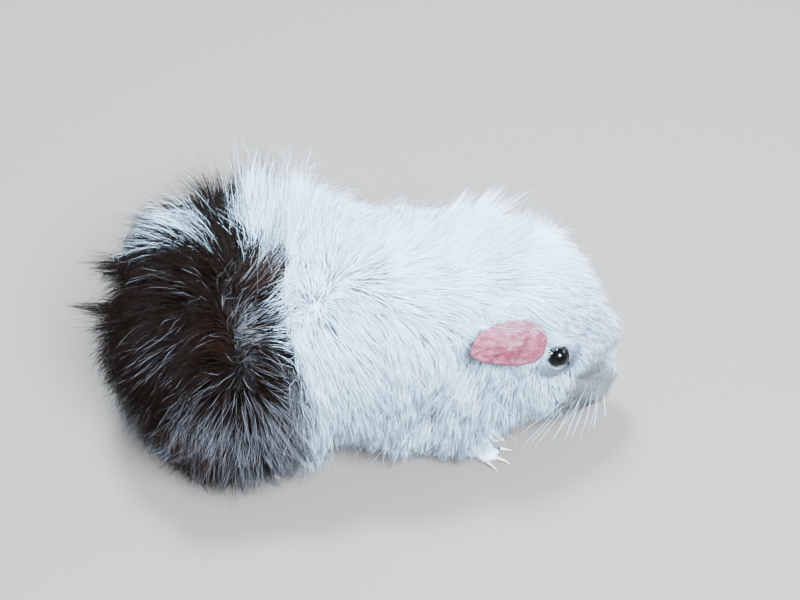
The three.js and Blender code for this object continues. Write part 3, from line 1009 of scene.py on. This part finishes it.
# ---- tufts -----------------------------------------------------------------------------------------
class Skin:
    """The skin's points with the fields that the coat grows by."""

    def __init__(self, piece):
        mesh = piece.data
        self.mesh = mesh
        self.points = coordinates(mesh)
        edges = edges_of(mesh)
        self.outward = unit(eased(normals_of(mesh), edges, 8))
        self.tree = KDTree(len(self.points))
        for i, point in enumerate(self.points):
            self.tree.insert(point, i)
        self.tree.balance()
        self.depth = eased(depth_of_coat(self.points, self.outward), edges, 10)
        self.depth = np.maximum(self.depth, THINNEST_COAT)
        for side in SIDES.values():
            away = np.linalg.norm(in_head(self.points) - eye_spot(side), axis=1)
            away = np.maximum(away - 7, 0)
            self.depth = np.minimum(self.depth, (1.3 + 0.4 * away + 0.05 * away**2) * MM)
        lie = eased(lie_of_hair(self.points, self.outward, self.tree), edges, 5)
        self.lie = unit(lie)
        self.loose = smoothstep(np.linalg.norm(lie, axis=1), 0.05, 0.75)
        self.length = hair_length(self.points) * (0.6 + 0.4 * self.loose)
        surface = self.points + self.outward * self.depth[:, None]
        # The coat lies closer under the long hair at the rump's back edge, and in the folds.
        self.depth *= 1 - 0.72 * np.clip(1.6 * hill(surface / MM, (-125, 10, 92), (34, 40, 34)), 0, 1)
        folded = bell(from_crease(surface), 6.5 * MM)
        self.depth *= 1 - 0.82 * folded
        self.length *= 1 - 0.5 * folded
        self.unwrapped = np.empty((len(self.points), 2))
        self.unwrapped[values_of(mesh.loops, "vertex_index", kind=np.int64)] = unwrap_of(mesh)
        self.stand = (0.2 + 0.35 * markings(surface)[:, 0]) * (1 - self.loose)
        for at, reach, amount, longer in STANDING:
            here = bump(surface / MM, at, reach)
            self.stand = np.maximum(self.stand, amount * here)
            self.length += longer * here * MM
        self.stand *= smoothstep(self.length / MM, 6, 14)
        self.straight = np.zeros_like(self.points)
        self.locked = np.zeros(len(self.points))
        for at, reach, direction, amount, longer in LOCKS:
            here = np.clip(1.6 * bump(surface / MM, at, reach), 0, 1)
            self.straight += amount * here[:, None] * np.array(Vector(direction).normalized())
            self.locked = np.maximum(self.locked, amount * here)
            self.length += longer * here * MM

    def nearest(self, places):
        find = self.tree.find
        return np.array([find(place)[1] for place in places])


def scattered(skin, count, density):
    """Random roots on the skin: place, and a spot on the skin's unwrap. density is given per point."""
    mesh = skin.mesh
    mesh.calc_loop_triangles()
    corners = values_of(mesh.loop_triangles, "vertices", 3, np.int64)
    loops = values_of(mesh.loop_triangles, "loops", 3, np.int64)
    a, b, c = (skin.points[corners[:, k]] for k in range(3))
    share = np.linalg.norm(np.cross(b - a, c - a), axis=1) * density[corners].mean(1)
    chosen = rng.choice(len(corners), count, p=share / share.sum())
    u, v = rng.random((2, count))
    over = u + v > 1
    u[over], v[over] = 1 - u[over], 1 - v[over]
    weights = np.stack([1 - u - v, u, v], 1)[:, :, None]
    roots = (skin.points[corners[chosen]] * weights).sum(1)
    return roots, (unwrap_of(mesh)[loops[chosen]] * weights).sum(1)


DOWN = np.array([0, 0, -1.0])
CLEAR_OF_FLOOR = 0.9 * MM


def grown(skin, roots, length, tallness, turn, segments):
    """Paths of hairs, from just under the skin to the tip.

    Each one rises to its share of the coat's depth and follows the lie of the hair, turned by its own
    angle. Under the belly and past the flank's lower edge it hangs instead.
    """
    place = roots.copy()
    index = skin.nearest(place)
    path = [place - skin.outward[index] * np.minimum(0.6 * MM, 0.1 * length)[:, None]]
    stride = length / segments
    long_haired = smoothstep(length / MM, 8, 16)
    straight = skin.straight[index]
    leaving = np.minimum(np.linalg.norm(straight, axis=1), 1)
    for step in range(1, segments + 1):
        along = step / segments
        out = skin.outward[index]
        way = skin.lie[index]
        way = way * np.cos(turn)[:, None] + np.cross(out, way) * np.sin(turn)[:, None]
        hang = smoothstep(-out[:, 2], 0.05, 0.6) * long_haired
        way = unit(way * (1 - hang)[:, None] + DOWN * hang[:, None])
        stand = skin.stand[index]
        wanted = skin.depth[index] * tallness * (1 - (1 - along) ** 1.9)
        wanted = wanted * (1 - stand) + np.maximum(wanted, 0.95 * length * along * tallness) * stand
        above = dot(place - skin.points[index], out)[:, 0]
        free = leaving * smoothstep(along, 0.1, 0.5)
        way = unit(way * (1 - free)[:, None] + straight * free[:, None])
        rise = (wanted - above) * (1 - hang) * (1 - free)
        least = 0.3 * (0.25 + 0.75 * skin.loose[index])
        move = np.sqrt(np.maximum(stride**2 - rise**2, (least * stride) ** 2))
        place = place + way * move[:, None] + out * rise[:, None]
        place[:, 2] = np.maximum(place[:, 2], CLEAR_OF_FLOOR)
        path.append(place)
        if step < segments:
            index = skin.nearest(place)
    return np.stack(path, 1)


def clumped(paths, per_lock, strength, power=1.4):
    """Draws hairs together towards their tips into locks, each round one of its own hairs."""
    middles = paths[:, paths.shape[1] // 2]
    leaders = rng.choice(len(paths), max(len(paths) // per_lock, 1), replace=False)
    tree = KDTree(len(leaders))
    for i, leader in enumerate(leaders):
        tree.insert(middles[leader], i)
    tree.balance()
    own = leaders[[tree.find(place)[1] for place in middles]]
    along = np.linspace(0, 1, paths.shape[1]) ** power
    pull = strength[own][:, None, None] * along[None, :, None]
    return paths + (paths[own] - paths) * pull


def repeated(indices, stride, count):
    """The same indices for one tuft after another, each time further on by the stride."""
    return (np.array(indices)[None, :] + stride * np.arange(count)[:, None]).ravel()


TUFT_PATCH = 0.003  # the size of a tuft on the map OFBake


def tuft_mesh(name, paths, widths, normals, patches, marking, chance):
    """One mesh of closed three-sided tufts that taper to a point at the end of each path."""
    count, rings = paths.shape[0], paths.shape[1] - 1
    along = np.linspace(0, 1, rings + 1)
    ahead = unit(np.gradient(paths, axis=1))
    across = unit(np.cross(ahead, normals[:, None, :]))
    above = unit(np.cross(across, ahead))
    taper = np.minimum(1, 0.65 + 1.6 * along) * (1 - along**2.2)
    half = widths[:, None] * taper[None, :] / 2
    spots = []
    for angle in (90, 210, 330):
        side, lift = math.cos(math.radians(angle)), 0.55 * math.sin(math.radians(angle))
        spots.append(paths + (across * side + above * lift) * half[:, :, None])
    body = np.stack(spots, 2)[:, :rings].reshape(count, rings * 3, 3)
    points = np.concatenate([body, paths[:, -1:]], 1)
    per = rings * 3 + 1

    corners, starts = [], []
    for ring in range(rings - 1):
        for k in range(3):
            starts.append(len(corners))
            here, after = ring * 3 + k, ring * 3 + (k + 1) % 3
            corners += [here, after, after + 3, here + 3]
    for k in range(3):
        starts.append(len(corners))
        corners += [(rings - 1) * 3 + k, (rings - 1) * 3 + (k + 1) % 3, per - 1]
    starts.append(len(corners))
    corners += [2, 1, 0]

    mesh = bpy.data.meshes.new(name)
    mesh.vertices.add(count * per)
    mesh.vertices.foreach_set("co", points.ravel())
    mesh.loops.add(count * len(corners))
    mesh.loops.foreach_set("vertex_index", repeated(corners, per, count))
    mesh.polygons.add(count * len(starts))
    mesh.polygons.foreach_set("loop_start", repeated(starts, len(corners), count))
    mesh.update(calc_edges=True)

    # Each tuft is a patch of the skin's unwrap at its root: round the tuft in u, and up it in v.
    ring_of, turn_of = np.divmod(corners, 3)
    patch = np.stack([turn_of / 2 - 0.5, ring_of / rings - 0.5], 1) * TUFT_PATCH
    layer = mesh.uv_layers.new(name="OFBake")
    layer.data.foreach_set("uv", (patches[:, None, :] + patch[None]).ravel())

    # How far up the tuft each point is, and the tuft's own random number.
    tuft = np.zeros((count, per, 3))
    tuft[:, :, 0] = np.append(np.repeat(along[:rings], 3), 1.0)
    tuft[:, :, 1] = chance[:, None]
    mark_points(mesh, "tuft", "FLOAT_VECTOR", tuft)
    mark_coat(mesh, np.repeat(marking, per, axis=0))
    return mesh


def unwrap(piece):
    """Unwraps a piece's own shape onto the map OFBake."""
    piece.data.uv_layers.new(name="OFBake")
    bpy.context.view_layer.objects.active = piece
    piece.select_set(True)
    bpy.ops.object.mode_set(mode="EDIT")
    bpy.ops.mesh.select_all(action="SELECT")
    bpy.ops.uv.smart_project(angle_limit=math.radians(66), island_margin=0.002)
    bpy.ops.object.mode_set(mode="OBJECT")
    piece.select_set(False)


def from_leather(spots):
    """How far places are from the middle of the nose's bare leather, in millimetres."""
    return np.linalg.norm((spots - LEATHER_AT) * (0.6, 0.9, 1), axis=1)


def paint_skin(skin):
    """Writes the markings, the bare places, and the painted shade in the nostrils, the mouth and round the
    eyes onto the skin.
    """
    mesh = skin.mesh
    mark_coat(mesh, markings(skin.points))
    spots = in_head(skin.points)
    bare = 1 - smoothstep(from_leather(spots), 3.6, 5.6)
    bare += smoothstep(-skin.points[:, 2] / MM, -4.2, -1.6)  # the soles
    mark_points(mesh, "bare", "FLOAT", np.clip(bare, 0, 1))
    # Painted shade in the nostrils and along the mouth.
    shade_and_eye_rim = np.clip(1.5 * nostrils(spots) - 0.3, 0, 1) + 0.5 * np.clip(1.4 * mouth(spots) - 0.3, 0, 1)
    # A dark ring round each eye: the bare skin of the lids' rim, and painted shade of the lids.
    for side in SIDES.values():
        shade_and_eye_rim += 0.6 * (1 - smoothstep(from_gaze(skin.points, side), 5.5, 6.8))
    mark_points(mesh, "shade_and_eye_rim", "FLOAT", np.clip(shade_and_eye_rim, 0, 1))


# Each family of tufts: how many, segments to the tip, width in mm, how tall at least and at most as a
# share of the coat's depth, and how much of the coat's length.
FAMILIES = {
    "brown_undercoat": (9000, 2, 0.80, (0.35, 0.75), 0.75),
    "brown_topcoat": (20000, 4, 0.27, (0.6, 1.1), 1.05),
    "white_undercoat": (20000, 2, 0.70, (0.5, 0.9), 0.8),
    "white_topcoat": (34000, 3, 0.34, (0.7, 1.06), 1.1),
    "guard_hairs": (3000, 3, 0.18, (1.0, 1.35), 1.3),
    "short_fur": (42000, 1, 0.26, (0.7, 1.0), 1.0),
}


def where_they_grow(skin):
    """How densely each family of tufts grows at each point of the skin."""
    spots = in_head(skin.points)
    brown = 0.04 + 0.96 * markings(skin.points + skin.outward * skin.depth[:, None] * 0.7)[:, 0]
    short = 1 - smoothstep(skin.length / MM, 5.0, 9.5)
    clear = smoothstep(skin.points[:, 2] / MM, 1.0, 2.6)
    by_eye = np.zeros(len(spots))
    for side in SIDES.values():
        off_axis = from_gaze(skin.points, side)
        clear = clear * smoothstep(off_axis, 5.25, 5.45)
        by_eye = np.maximum(by_eye, 1 - smoothstep(off_axis, 6.5, 11))
    places = np.append(skin.points, np.ones((len(spots), 1)), 1)
    for name in SIDES:
        # The ear's stalk is bare.
        on_ear = np.array(ear_frame(name).inverted()) @ places.T / MM
        clear = clear * (np.hypot(on_ear[0] / 9, on_ear[1] / 6) > 1)
    clear = clear * smoothstep(from_leather(spots), 4.2, 5.4)
    clear = clear * (nostrils(spots) < 0.3) * (mouth(spots) < 0.35)
    finer = 1 + 1.6 * smoothstep(spots[:, 0] + 0.84 * spots[:, 2], 27, 37) + 5 * by_eye
    under = 1 - 0.7 * smoothstep(-skin.outward[:, 2], 0.3, 0.8)
    shaggy = (1 - short) * clear * under
    return {
        "brown_undercoat": brown * shaggy,
        "brown_topcoat": brown * shaggy * (1 + 3.4 * skin.locked),
        "white_undercoat": (1.02 - brown) * shaggy,
        "white_topcoat": (1.02 - brown) * shaggy * (1 + 1.8 * skin.locked),
        "guard_hairs": shaggy,
        "short_fur": short * clear * finer,
    }


def grow_family(skin, family, density):
    """The paths, widths, normals, patches, colours and chances of one family of tufts."""
    count, segments, width, (least, most), share = FAMILIES[family]
    roots, patches = scattered(skin, count, density)
    index = skin.nearest(roots)
    locked = skin.locked[index]
    hanging = smoothstep(-skin.outward[index, 2], 0.05, 0.6)
    tallness = most - (most - least) * rng.random(count) ** 2
    length = skin.length[index] * share * np.clip(1 + 0.16 * rng.standard_normal(count), 0.6, 1.4)
    length *= 1 - 0.4 * locked * rng.random(count)
    room = np.maximum(roots[:, 2] - rng.uniform(0.5, 10, count) * MM, 3 * MM)
    length = length * (1 - hanging) + np.minimum(length, room) * hanging
    dark = "brown" in family
    stray = {"guard_hairs": 0.5, "brown_topcoat": 0.26}.get(family, 0.12)
    turn = (0.55 if dark else 0.38) * cloudy(roots, 18 * MM, 21.0)
    turn += (0.45 if dark else 0.14) * cloudy(roots, 6 * MM, 27.0)
    turn += stray * rng.standard_normal(count)
    paths = grown(skin, roots, length, tallness, turn, segments)
    along = np.linspace(0, 1, segments + 1)[None, :, None]
    if segments > 2:
        # Every long hair is bent and frizzed in its own way.
        bow = rng.standard_normal((count, 1, 3)) * (0.10 if dark else 0.06) * along**2
        frizz = rng.standard_normal((count, segments + 1, 3)) * (0.022 if dark else 0.012) * along
        paths += (bow + frizz) * length[:, None, None]
    if segments > 2 and family != "guard_hairs":
        # The hairs are drawn into fine locks, and these into broad ones.
        fringe = 1 - smoothstep(paths[:, -1, 2] / MM, 14, 42)
        fine = (0.42 if dark else 0.40) + 0.3 * np.maximum(fringe, locked)
        fine += 0.2 * rng.standard_normal(count)
        paths = clumped(paths, 7, np.clip(fine, 0.05, 0.92))
        broad = 0.27 + 0.2 * fringe + (0.3 if dark else 0.16) * locked
        broad += 0.14 * rng.standard_normal(count)
        paths = clumped(paths, 60, np.clip(broad, 0, 0.75), 1.8)
    paths = kept_within(paths)
    paths[:, :, 2] = np.maximum(paths[:, :, 2], CLEAR_OF_FLOOR)
    seen = clear_of_eyes(paths)
    paths, index, patches, count = paths[seen], index[seen], patches[seen], seen.sum()
    # Each hair has the colour of the skin at its root or of where it comes to lie, so the edges mingle.
    lain = paths[:, -1] * 0.45 + paths[:, 0] * 0.55 if segments < 3 else paths[:, 2]
    rooted = rng.random(count) < 0.4
    colour = markings(np.where(rooted[:, None], paths[:, 0] + skin.outward[index] * 5 * MM, lain))
    colour[:, 0] = colour[:, 0] > rng.random(count)
    colour[:, 1] = (colour[:, 1] > rng.random(count)) * rng.uniform(0.35, 1, count)
    if family == "brown_undercoat":
        colour[:, 1] = 0
    widths = width * rng.uniform(0.7, 1.3, count) * MM
    return paths, widths, skin.outward[index], patches, colour, rng.random(count)


def kept_within(paths):
    """Shortens the hairs that would stand far out of the solids' box."""
    low, high = (np.array(corner) for corner in cad_box)
    spare = 0.03 * (high - low) + 6 * MM  # how far a tip may stand out on each side
    root, tip = paths[:, 0], paths[:, -1]
    past = np.clip(np.maximum(low - spare - tip, tip - high - spare), 0, None)
    share = 1 - (past / np.maximum(np.abs(tip - root), MM)).max(1)
    share = np.where(share < 1, share * rng.uniform(0.85, 1, len(paths)), 1)
    return root[:, None] + (paths - root[:, None]) * np.maximum(share, 0.3)[:, None, None]


def clear_of_eyes(paths):
    """True for each path that does not pass over an eye."""
    steps = np.linspace(0, paths.shape[1] - 1.001, 14)
    before = steps.astype(int)
    share = (steps % 1)[None, :, None]
    places = paths[:, before] * (1 - share) + paths[:, before + 1] * share
    clear = np.ones(len(paths), dtype=bool)
    for side in SIDES.values():
        x, y, z = np.moveaxis(in_eye(places, side), -1, 0)
        over = (np.hypot(x, y) < 5.2 + 0.75 * np.clip(z - 3.2, 0, 12)) & (z > 0)
        clear &= ~over.any(1)
    return clear


PIECE_LIMIT = 199000  # triangles


def coat_pieces(skin, material):
    """Grows the whole coat and parts it into pieces by side and along the body."""
    for family, density in where_they_grow(skin).items():
        grown_family = grow_family(skin, family, density)
        roots = grown_family[0][:, 0]
        segments = grown_family[0].shape[1] - 1
        order = np.lexsort((roots[:, 0], roots[:, 1] > 0))
        per_piece = PIECE_LIMIT // (6 * segments - 2)
        for part, start in enumerate(range(0, len(order), per_piece)):
            chosen = order[start : start + per_piece]
            name = f"{family}_{part + 1}"
            mesh = tuft_mesh(name, *(values[chosen] for values in grown_family))
            new_piece(name, mesh, material)


# ---- eyes, lids, ears ------------------------------------------------------------------------------
def make_eye(name, side, material):
    bm = bmesh.new()
    bmesh.ops.create_uvsphere(bm, u_segments=48, v_segments=32, radius=EYE_RADIUS)
    for vert in bm.verts:
        bulge = max(vert.co.z / EYE_RADIUS - 0.55, 0)
        vert.co.z += 1.1 * bulge**1.5 * MM
    zones = [Vector((v.co.x, v.co.y)).length / EYE_RADIUS if v.co.z > 0 else 1.0 for v in bm.verts]
    bmesh.ops.transform(bm, matrix=eye_frame(side), verts=bm.verts)
    eye = new_piece(f"eyeball_{name}", as_mesh(f"eyeball_{name}", bm), material)
    mark_points(eye.data, "zone", "FLOAT", zones)
    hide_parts(f"eye_{name}")


def lid_opening(angle, grow):
    """The lids' edge: nearly round, with a corner at the front towards the nose and below."""
    reach = 1
    for longer, at, width in ((0.32, -0.75, 0.3), (0.06, 2.5, 0.5)):
        away = (angle - at + math.pi) % (2 * math.pi) - math.pi
        reach += longer * math.exp(-((away / width) ** 2))
    return (4.75 * reach + grow) * MM


LID_BRIM = 0.985  # the share of the ball's radius at which the lids leave it


def make_lids(name, side, material):
    """A soft rim round the eye: rings that start on the ball, roll over the edge and sink into the skin."""
    # For each ring, in millimetres: how far out from the opening, and how high over the ball.
    profile = [(0.0, -0.5), (-0.04, 0.1), (0.08, 0.28), (0.3, 0.3), (0.55, 0.1), (0.85, -0.5)]
    bm = bmesh.new()
    rings = [bmesh.ops.create_circle(bm, cap_ends=False, segments=64, radius=1)["verts"]]
    edges = list(bm.edges)
    for _ in profile[1:]:
        made = bmesh.ops.extrude_edge_only(bm, edges=edges)["geom"]
        rings.append([e for e in made if isinstance(e, bmesh.types.BMVert)])
        outer = set(rings[-1])
        edges = [e for e in made if isinstance(e, bmesh.types.BMEdge) and outer.issuperset(e.verts)]
    for ring, (grow, over) in zip(rings, profile):
        for vert in ring:
            angle = math.atan2(vert.co.y * -side, vert.co.x)
            reach = lid_opening(angle, grow)
            radius = EYE_RADIUS + over * MM
            flat = min(reach / radius, LID_BRIM)
            height = radius * math.sqrt(1 - flat**2) - 0.2 * max(reach - LID_BRIM * radius, 0)
            way = Vector((vert.co.x, vert.co.y)).normalized() * reach
            vert.co = (way.x, way.y, height)
    bmesh.ops.recalc_face_normals(bm, faces=bm.faces)
    bmesh.ops.transform(bm, matrix=eye_frame(side), verts=bm.verts)
    lids = new_piece(f"eyelids_{name}", as_mesh(f"eyelids_{name}", bm), material)
    thicken(lids, 0.35 * MM, -1, 1)


EAR_LENGTH = 39.0
EAR_WIDTH = 21.5


def ridge(*spans):
    """A soft ridge of height 1, given by how far off it is and its width, across and along it."""
    return math.exp(-sum((away / width) ** 2 for away, width in spans))


def make_ear(name, material):
    """A thin petal with a rolled upper rim, two folds, and a wavy surface and outline."""
    bm = bmesh.new()
    bmesh.ops.create_circle(bm, cap_ends=True, segments=72, radius=1)
    reaches = [1, 0.96, 0.9, 0.82, 0.73, 0.63, 0.52, 0.4, 0.27, 0.14]
    for outer_ring, inner_ring in zip(reaches, reaches[1:]):
        inner = max(bm.faces, key=lambda face: len(face.verts))
        bmesh.ops.inset_individual(bm, faces=[inner], thickness=outer_ring - inner_ring)
    bmesh.ops.poke(bm, faces=[max(bm.faces, key=lambda face: len(face.verts))])
    rim_tone_and_fold_shade = []
    for vert in bm.verts:
        x, y = vert.co.x, vert.co.y
        reach = math.hypot(x, y)
        width = (1 + 0.26 * x) * EAR_WIDTH / 2
        if y < 0:
            width *= 1 + 0.4 * ridge((x + 0.8, 0.3))
        first_fold = x - 0.42 + 0.25 * y
        second_fold = x + 0.25 + 0.2 * y
        dome = 3.2 * (1 - x * x) * (1 - y * y) - 2.5 * max(0.0, -y) ** 2
        rolled = ridge((reach - 0.95, 0.08)) * (0.4 + 0.6 * max(0, y))
        fold = -2.2 * ridge((first_fold, 0.09), (y - 0.25, 0.75))
        fold -= 1.5 * ridge((second_fold, 0.08), (y - 0.65, 0.4))
        bulge = 0.9 * ridge((x - 0.68, 0.2), (y - 0.1, 0.5))
        ripple = 1.2 * noise.noise(Vector((x * 3.2, y * 2.2, 3.0)))
        ripple += 0.55 * noise.noise(Vector((x * 8, y * 5, 11.0)))
        turn = math.atan2(y, x)
        wave = 1 + 0.045 * noise.noise(Vector((math.cos(turn) * 1.6, math.sin(turn) * 1.6, 7.0)))
        wave += 0.018 * noise.noise(Vector((math.cos(turn) * 5, math.sin(turn) * 5, 2.0)))
        height = dome + rolled + (fold + bulge + ripple) * (1 - 0.5 * reach**4)
        drop = 2.2 * max(0.0, -x) ** 2
        vert.co = Vector((x * EAR_LENGTH / 2 * wave, y * width * wave + drop, height)) * MM
        # Painted shade in the two folds.
        fold_shade = 0.5 * ridge((first_fold, 0.07), (y - 0.3, 0.6))
        fold_shade += 0.4 * ridge((second_fold, 0.06), (y - 0.6, 0.4))
        edge = min(1, max(0, (reach - 0.86) / 0.14)) * (0.35 + 0.65 * max(0, y))
        rim_tone_and_fold_shade.append(max(edge, fold_shade))
    layer = bm.verts.layers.float.new("rim")
    for vert, value in zip(bm.verts, rim_tone_and_fold_shade):
        vert[layer] = value
    bmesh.ops.recalc_face_normals(bm, faces=bm.faces)
    bmesh.ops.transform(bm, matrix=ear_frame(name), verts=bm.verts)
    bmesh.ops.recalc_face_normals(bm, faces=bm.faces)
    ear = new_piece(f"ear_petal_{name}", as_mesh(f"ear_petal_{name}", bm), material)
    thicken(ear, 1.3 * MM, 0, 2)
    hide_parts(f"ear_{name}")
    return ear


def make_whiskers(skin, material):
    """Long stiff whiskers in rows on the lips."""
    roots, ways, lengths = [], [], []
    for side in SIDES.values():
        for row in range(4):
            for place in range(5):
                roots.append((57 - 3.4 * place - 0.5 * row, side * (9 + 1.3 * place), -5.5 - 2.6 * row))
                ways.append((0.42 - 0.22 * place, side * 1.0, 0.05 - 0.16 * row))
                lengths.append(15 + 4.5 * place)
    count = len(roots)
    places = np.array([on_head(*root) for root in roots])
    index = skin.nearest(places)
    places = skin.points[index]
    ways = unit(np.array(ways) + 0.10 * rng.standard_normal((count, 3))) @ np.array(head_turn).T
    lengths = np.array(lengths) * rng.uniform(0.85, 1.15, count) * MM
    along = np.linspace(0, 1, 8)[None, :, None]
    droop = np.array([-0.12, 0, -0.30]) + 0.06 * rng.standard_normal((count, 3))
    paths = places[:, None] + (ways[:, None] * along + droop[:, None] * along**2) * lengths[:, None, None]
    widths = np.full(count, 0.26 * MM)
    white = np.zeros((count, 3))
    patches = skin.unwrapped[index]
    mesh = tuft_mesh("whiskers", paths, widths, skin.outward[index], patches, white, np.ones(count))
    new_piece("whiskers", mesh, material)


def make_ear_fuzz(name, ear, skin, material):
    """Sparse short hairs over the ear, lying towards its round end."""
    mesh = ear.data
    points, normals = coordinates(mesh), normals_of(mesh)
    turn = np.array(ear_frame(name).to_3x3())
    outer = np.where(normals @ turn[:, 2] > 0.2)[0]
    upper = smoothstep((np.array(ear_frame(name).translation) - points) @ turn[:, 1] / MM, 4, 9)
    density = 1 + 4 * upper[outer]
    count = 230
    chosen = rng.choice(outer, count, p=density / density.sum())
    upper = upper[chosen]
    way = unit(turn[:, 0] + 0.3 * upper[:, None] * turn[:, 1] + 0.35 * rng.standard_normal((count, 3)))
    normal = normals[chosen]
    way = unit(way - normal * dot(way, normal))
    lengths = rng.uniform(2.0, 4.0, count) * (1 + 0.9 * upper) * MM
    start = points[chosen] + unit(rng.standard_normal((count, 3))) * 0.3 * MM
    along = np.linspace(0, 1, 3)[None, :, None]
    lift = 0.45 * np.sin(along * 2.2)
    paths = start[:, None] + (way[:, None] * along + normal[:, None] * lift * 0.5) * lengths[:, None, None]
    widths = np.full(count, 0.06 * MM)
    white = np.zeros((count, 3))
    patches = skin.unwrapped[skin.nearest(start)]
    fuzz = tuft_mesh(f"ear_fuzz_{name}", paths, widths, normal, patches, white, rng.random(count))
    new_piece(f"ear_fuzz_{name}", fuzz, material)


# ---- stage -----------------------------------------------------------------------------------------
VIEW_FROM_ABOVE = math.radians(51)
VIEW_DISTANCE = 0.79
VIEW_TARGET = Vector((19.8, 7.4, 69.3)) * MM
LENS = 70.0
LIT_SPOT = Vector((0, 0, 0.06))  # what the lamps are turned to


def make_stage():
    bm = bmesh.new()
    bmesh.ops.create_grid(bm, x_segments=1, y_segments=1, size=4)
    floor = add_object("floor", as_mesh("floor", bm))
    material, _, shader = new_material("floor_paint")
    set_sockets(shader, Base_Color=(0.115, 0.080, 0.065, 1), Roughness=0.9)
    floor.data.materials.append(material)

    world = bpy.data.worlds.new("studio")
    world.use_nodes = True
    set_sockets(world.node_tree.nodes["Background"], Color=(0.50, 0.76, 1.0, 1), Strength=1.4)
    bpy.context.scene.world = world
    # Name, place, size, power and colour.
    lamps = [
        ("key", (-0.15, 0.35, 1.35), 0.3, 145, (0.58, 0.83, 1.0)),
        ("fill", (0.36, -0.66, 1.12), 0.6, 220, (0.60, 0.83, 1.0)),
        ("side", (1.2, 0.5, 0.8), 0.8, 34, (0.70, 0.88, 1.0)),
    ]
    for name, place, size, power, colour in lamps:
        light = bpy.data.lights.new(name, "AREA")
        light.shape = "DISK"
        light.size = size
        light.energy = power
        light.color = colour
        lamp = add_object(name, light)
        lamp.location = place
        lamp.rotation_euler = (Vector(place) - LIT_SPOT).to_track_quat("Z", "Y").to_euler()

    camera = add_object("camera", bpy.data.cameras.new("camera"))
    camera.data.lens = LENS
    camera.data.sensor_width = 36
    camera.data.clip_start = 0.01
    back = Vector((0, -math.cos(VIEW_FROM_ABOVE), math.sin(VIEW_FROM_ABOVE)))
    camera.location = VIEW_TARGET + back * VIEW_DISTANCE
    camera.rotation_euler = Euler((math.pi / 2 - VIEW_FROM_ABOVE, 0, 0))
    bpy.context.scene.camera = camera


# ---- the animal --------------------------------------------------------------------------------------
skin_piece = make_skin()
unwrap(skin_piece)
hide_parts(*FLESH, *FEET)
skin = Skin(skin_piece)
paint_skin(skin)
hair = coat_material()
coat_pieces(skin, hair)
make_whiskers(skin, hair)
ear_skin, eye_gloss, lid_skin, horn = ear_material(), eye_material(), lid_material(), horn_material()
for name, side in SIDES.items():
    make_eye(name, side, eye_gloss)
    make_lids(name, side, lid_skin)
    make_ear_fuzz(name, make_ear(name, ear_skin), skin, hair)
for node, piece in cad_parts.items():
    if "claw" in node:
        piece.data.materials.clear()
        piece.data.materials.append(horn)
make_stage()
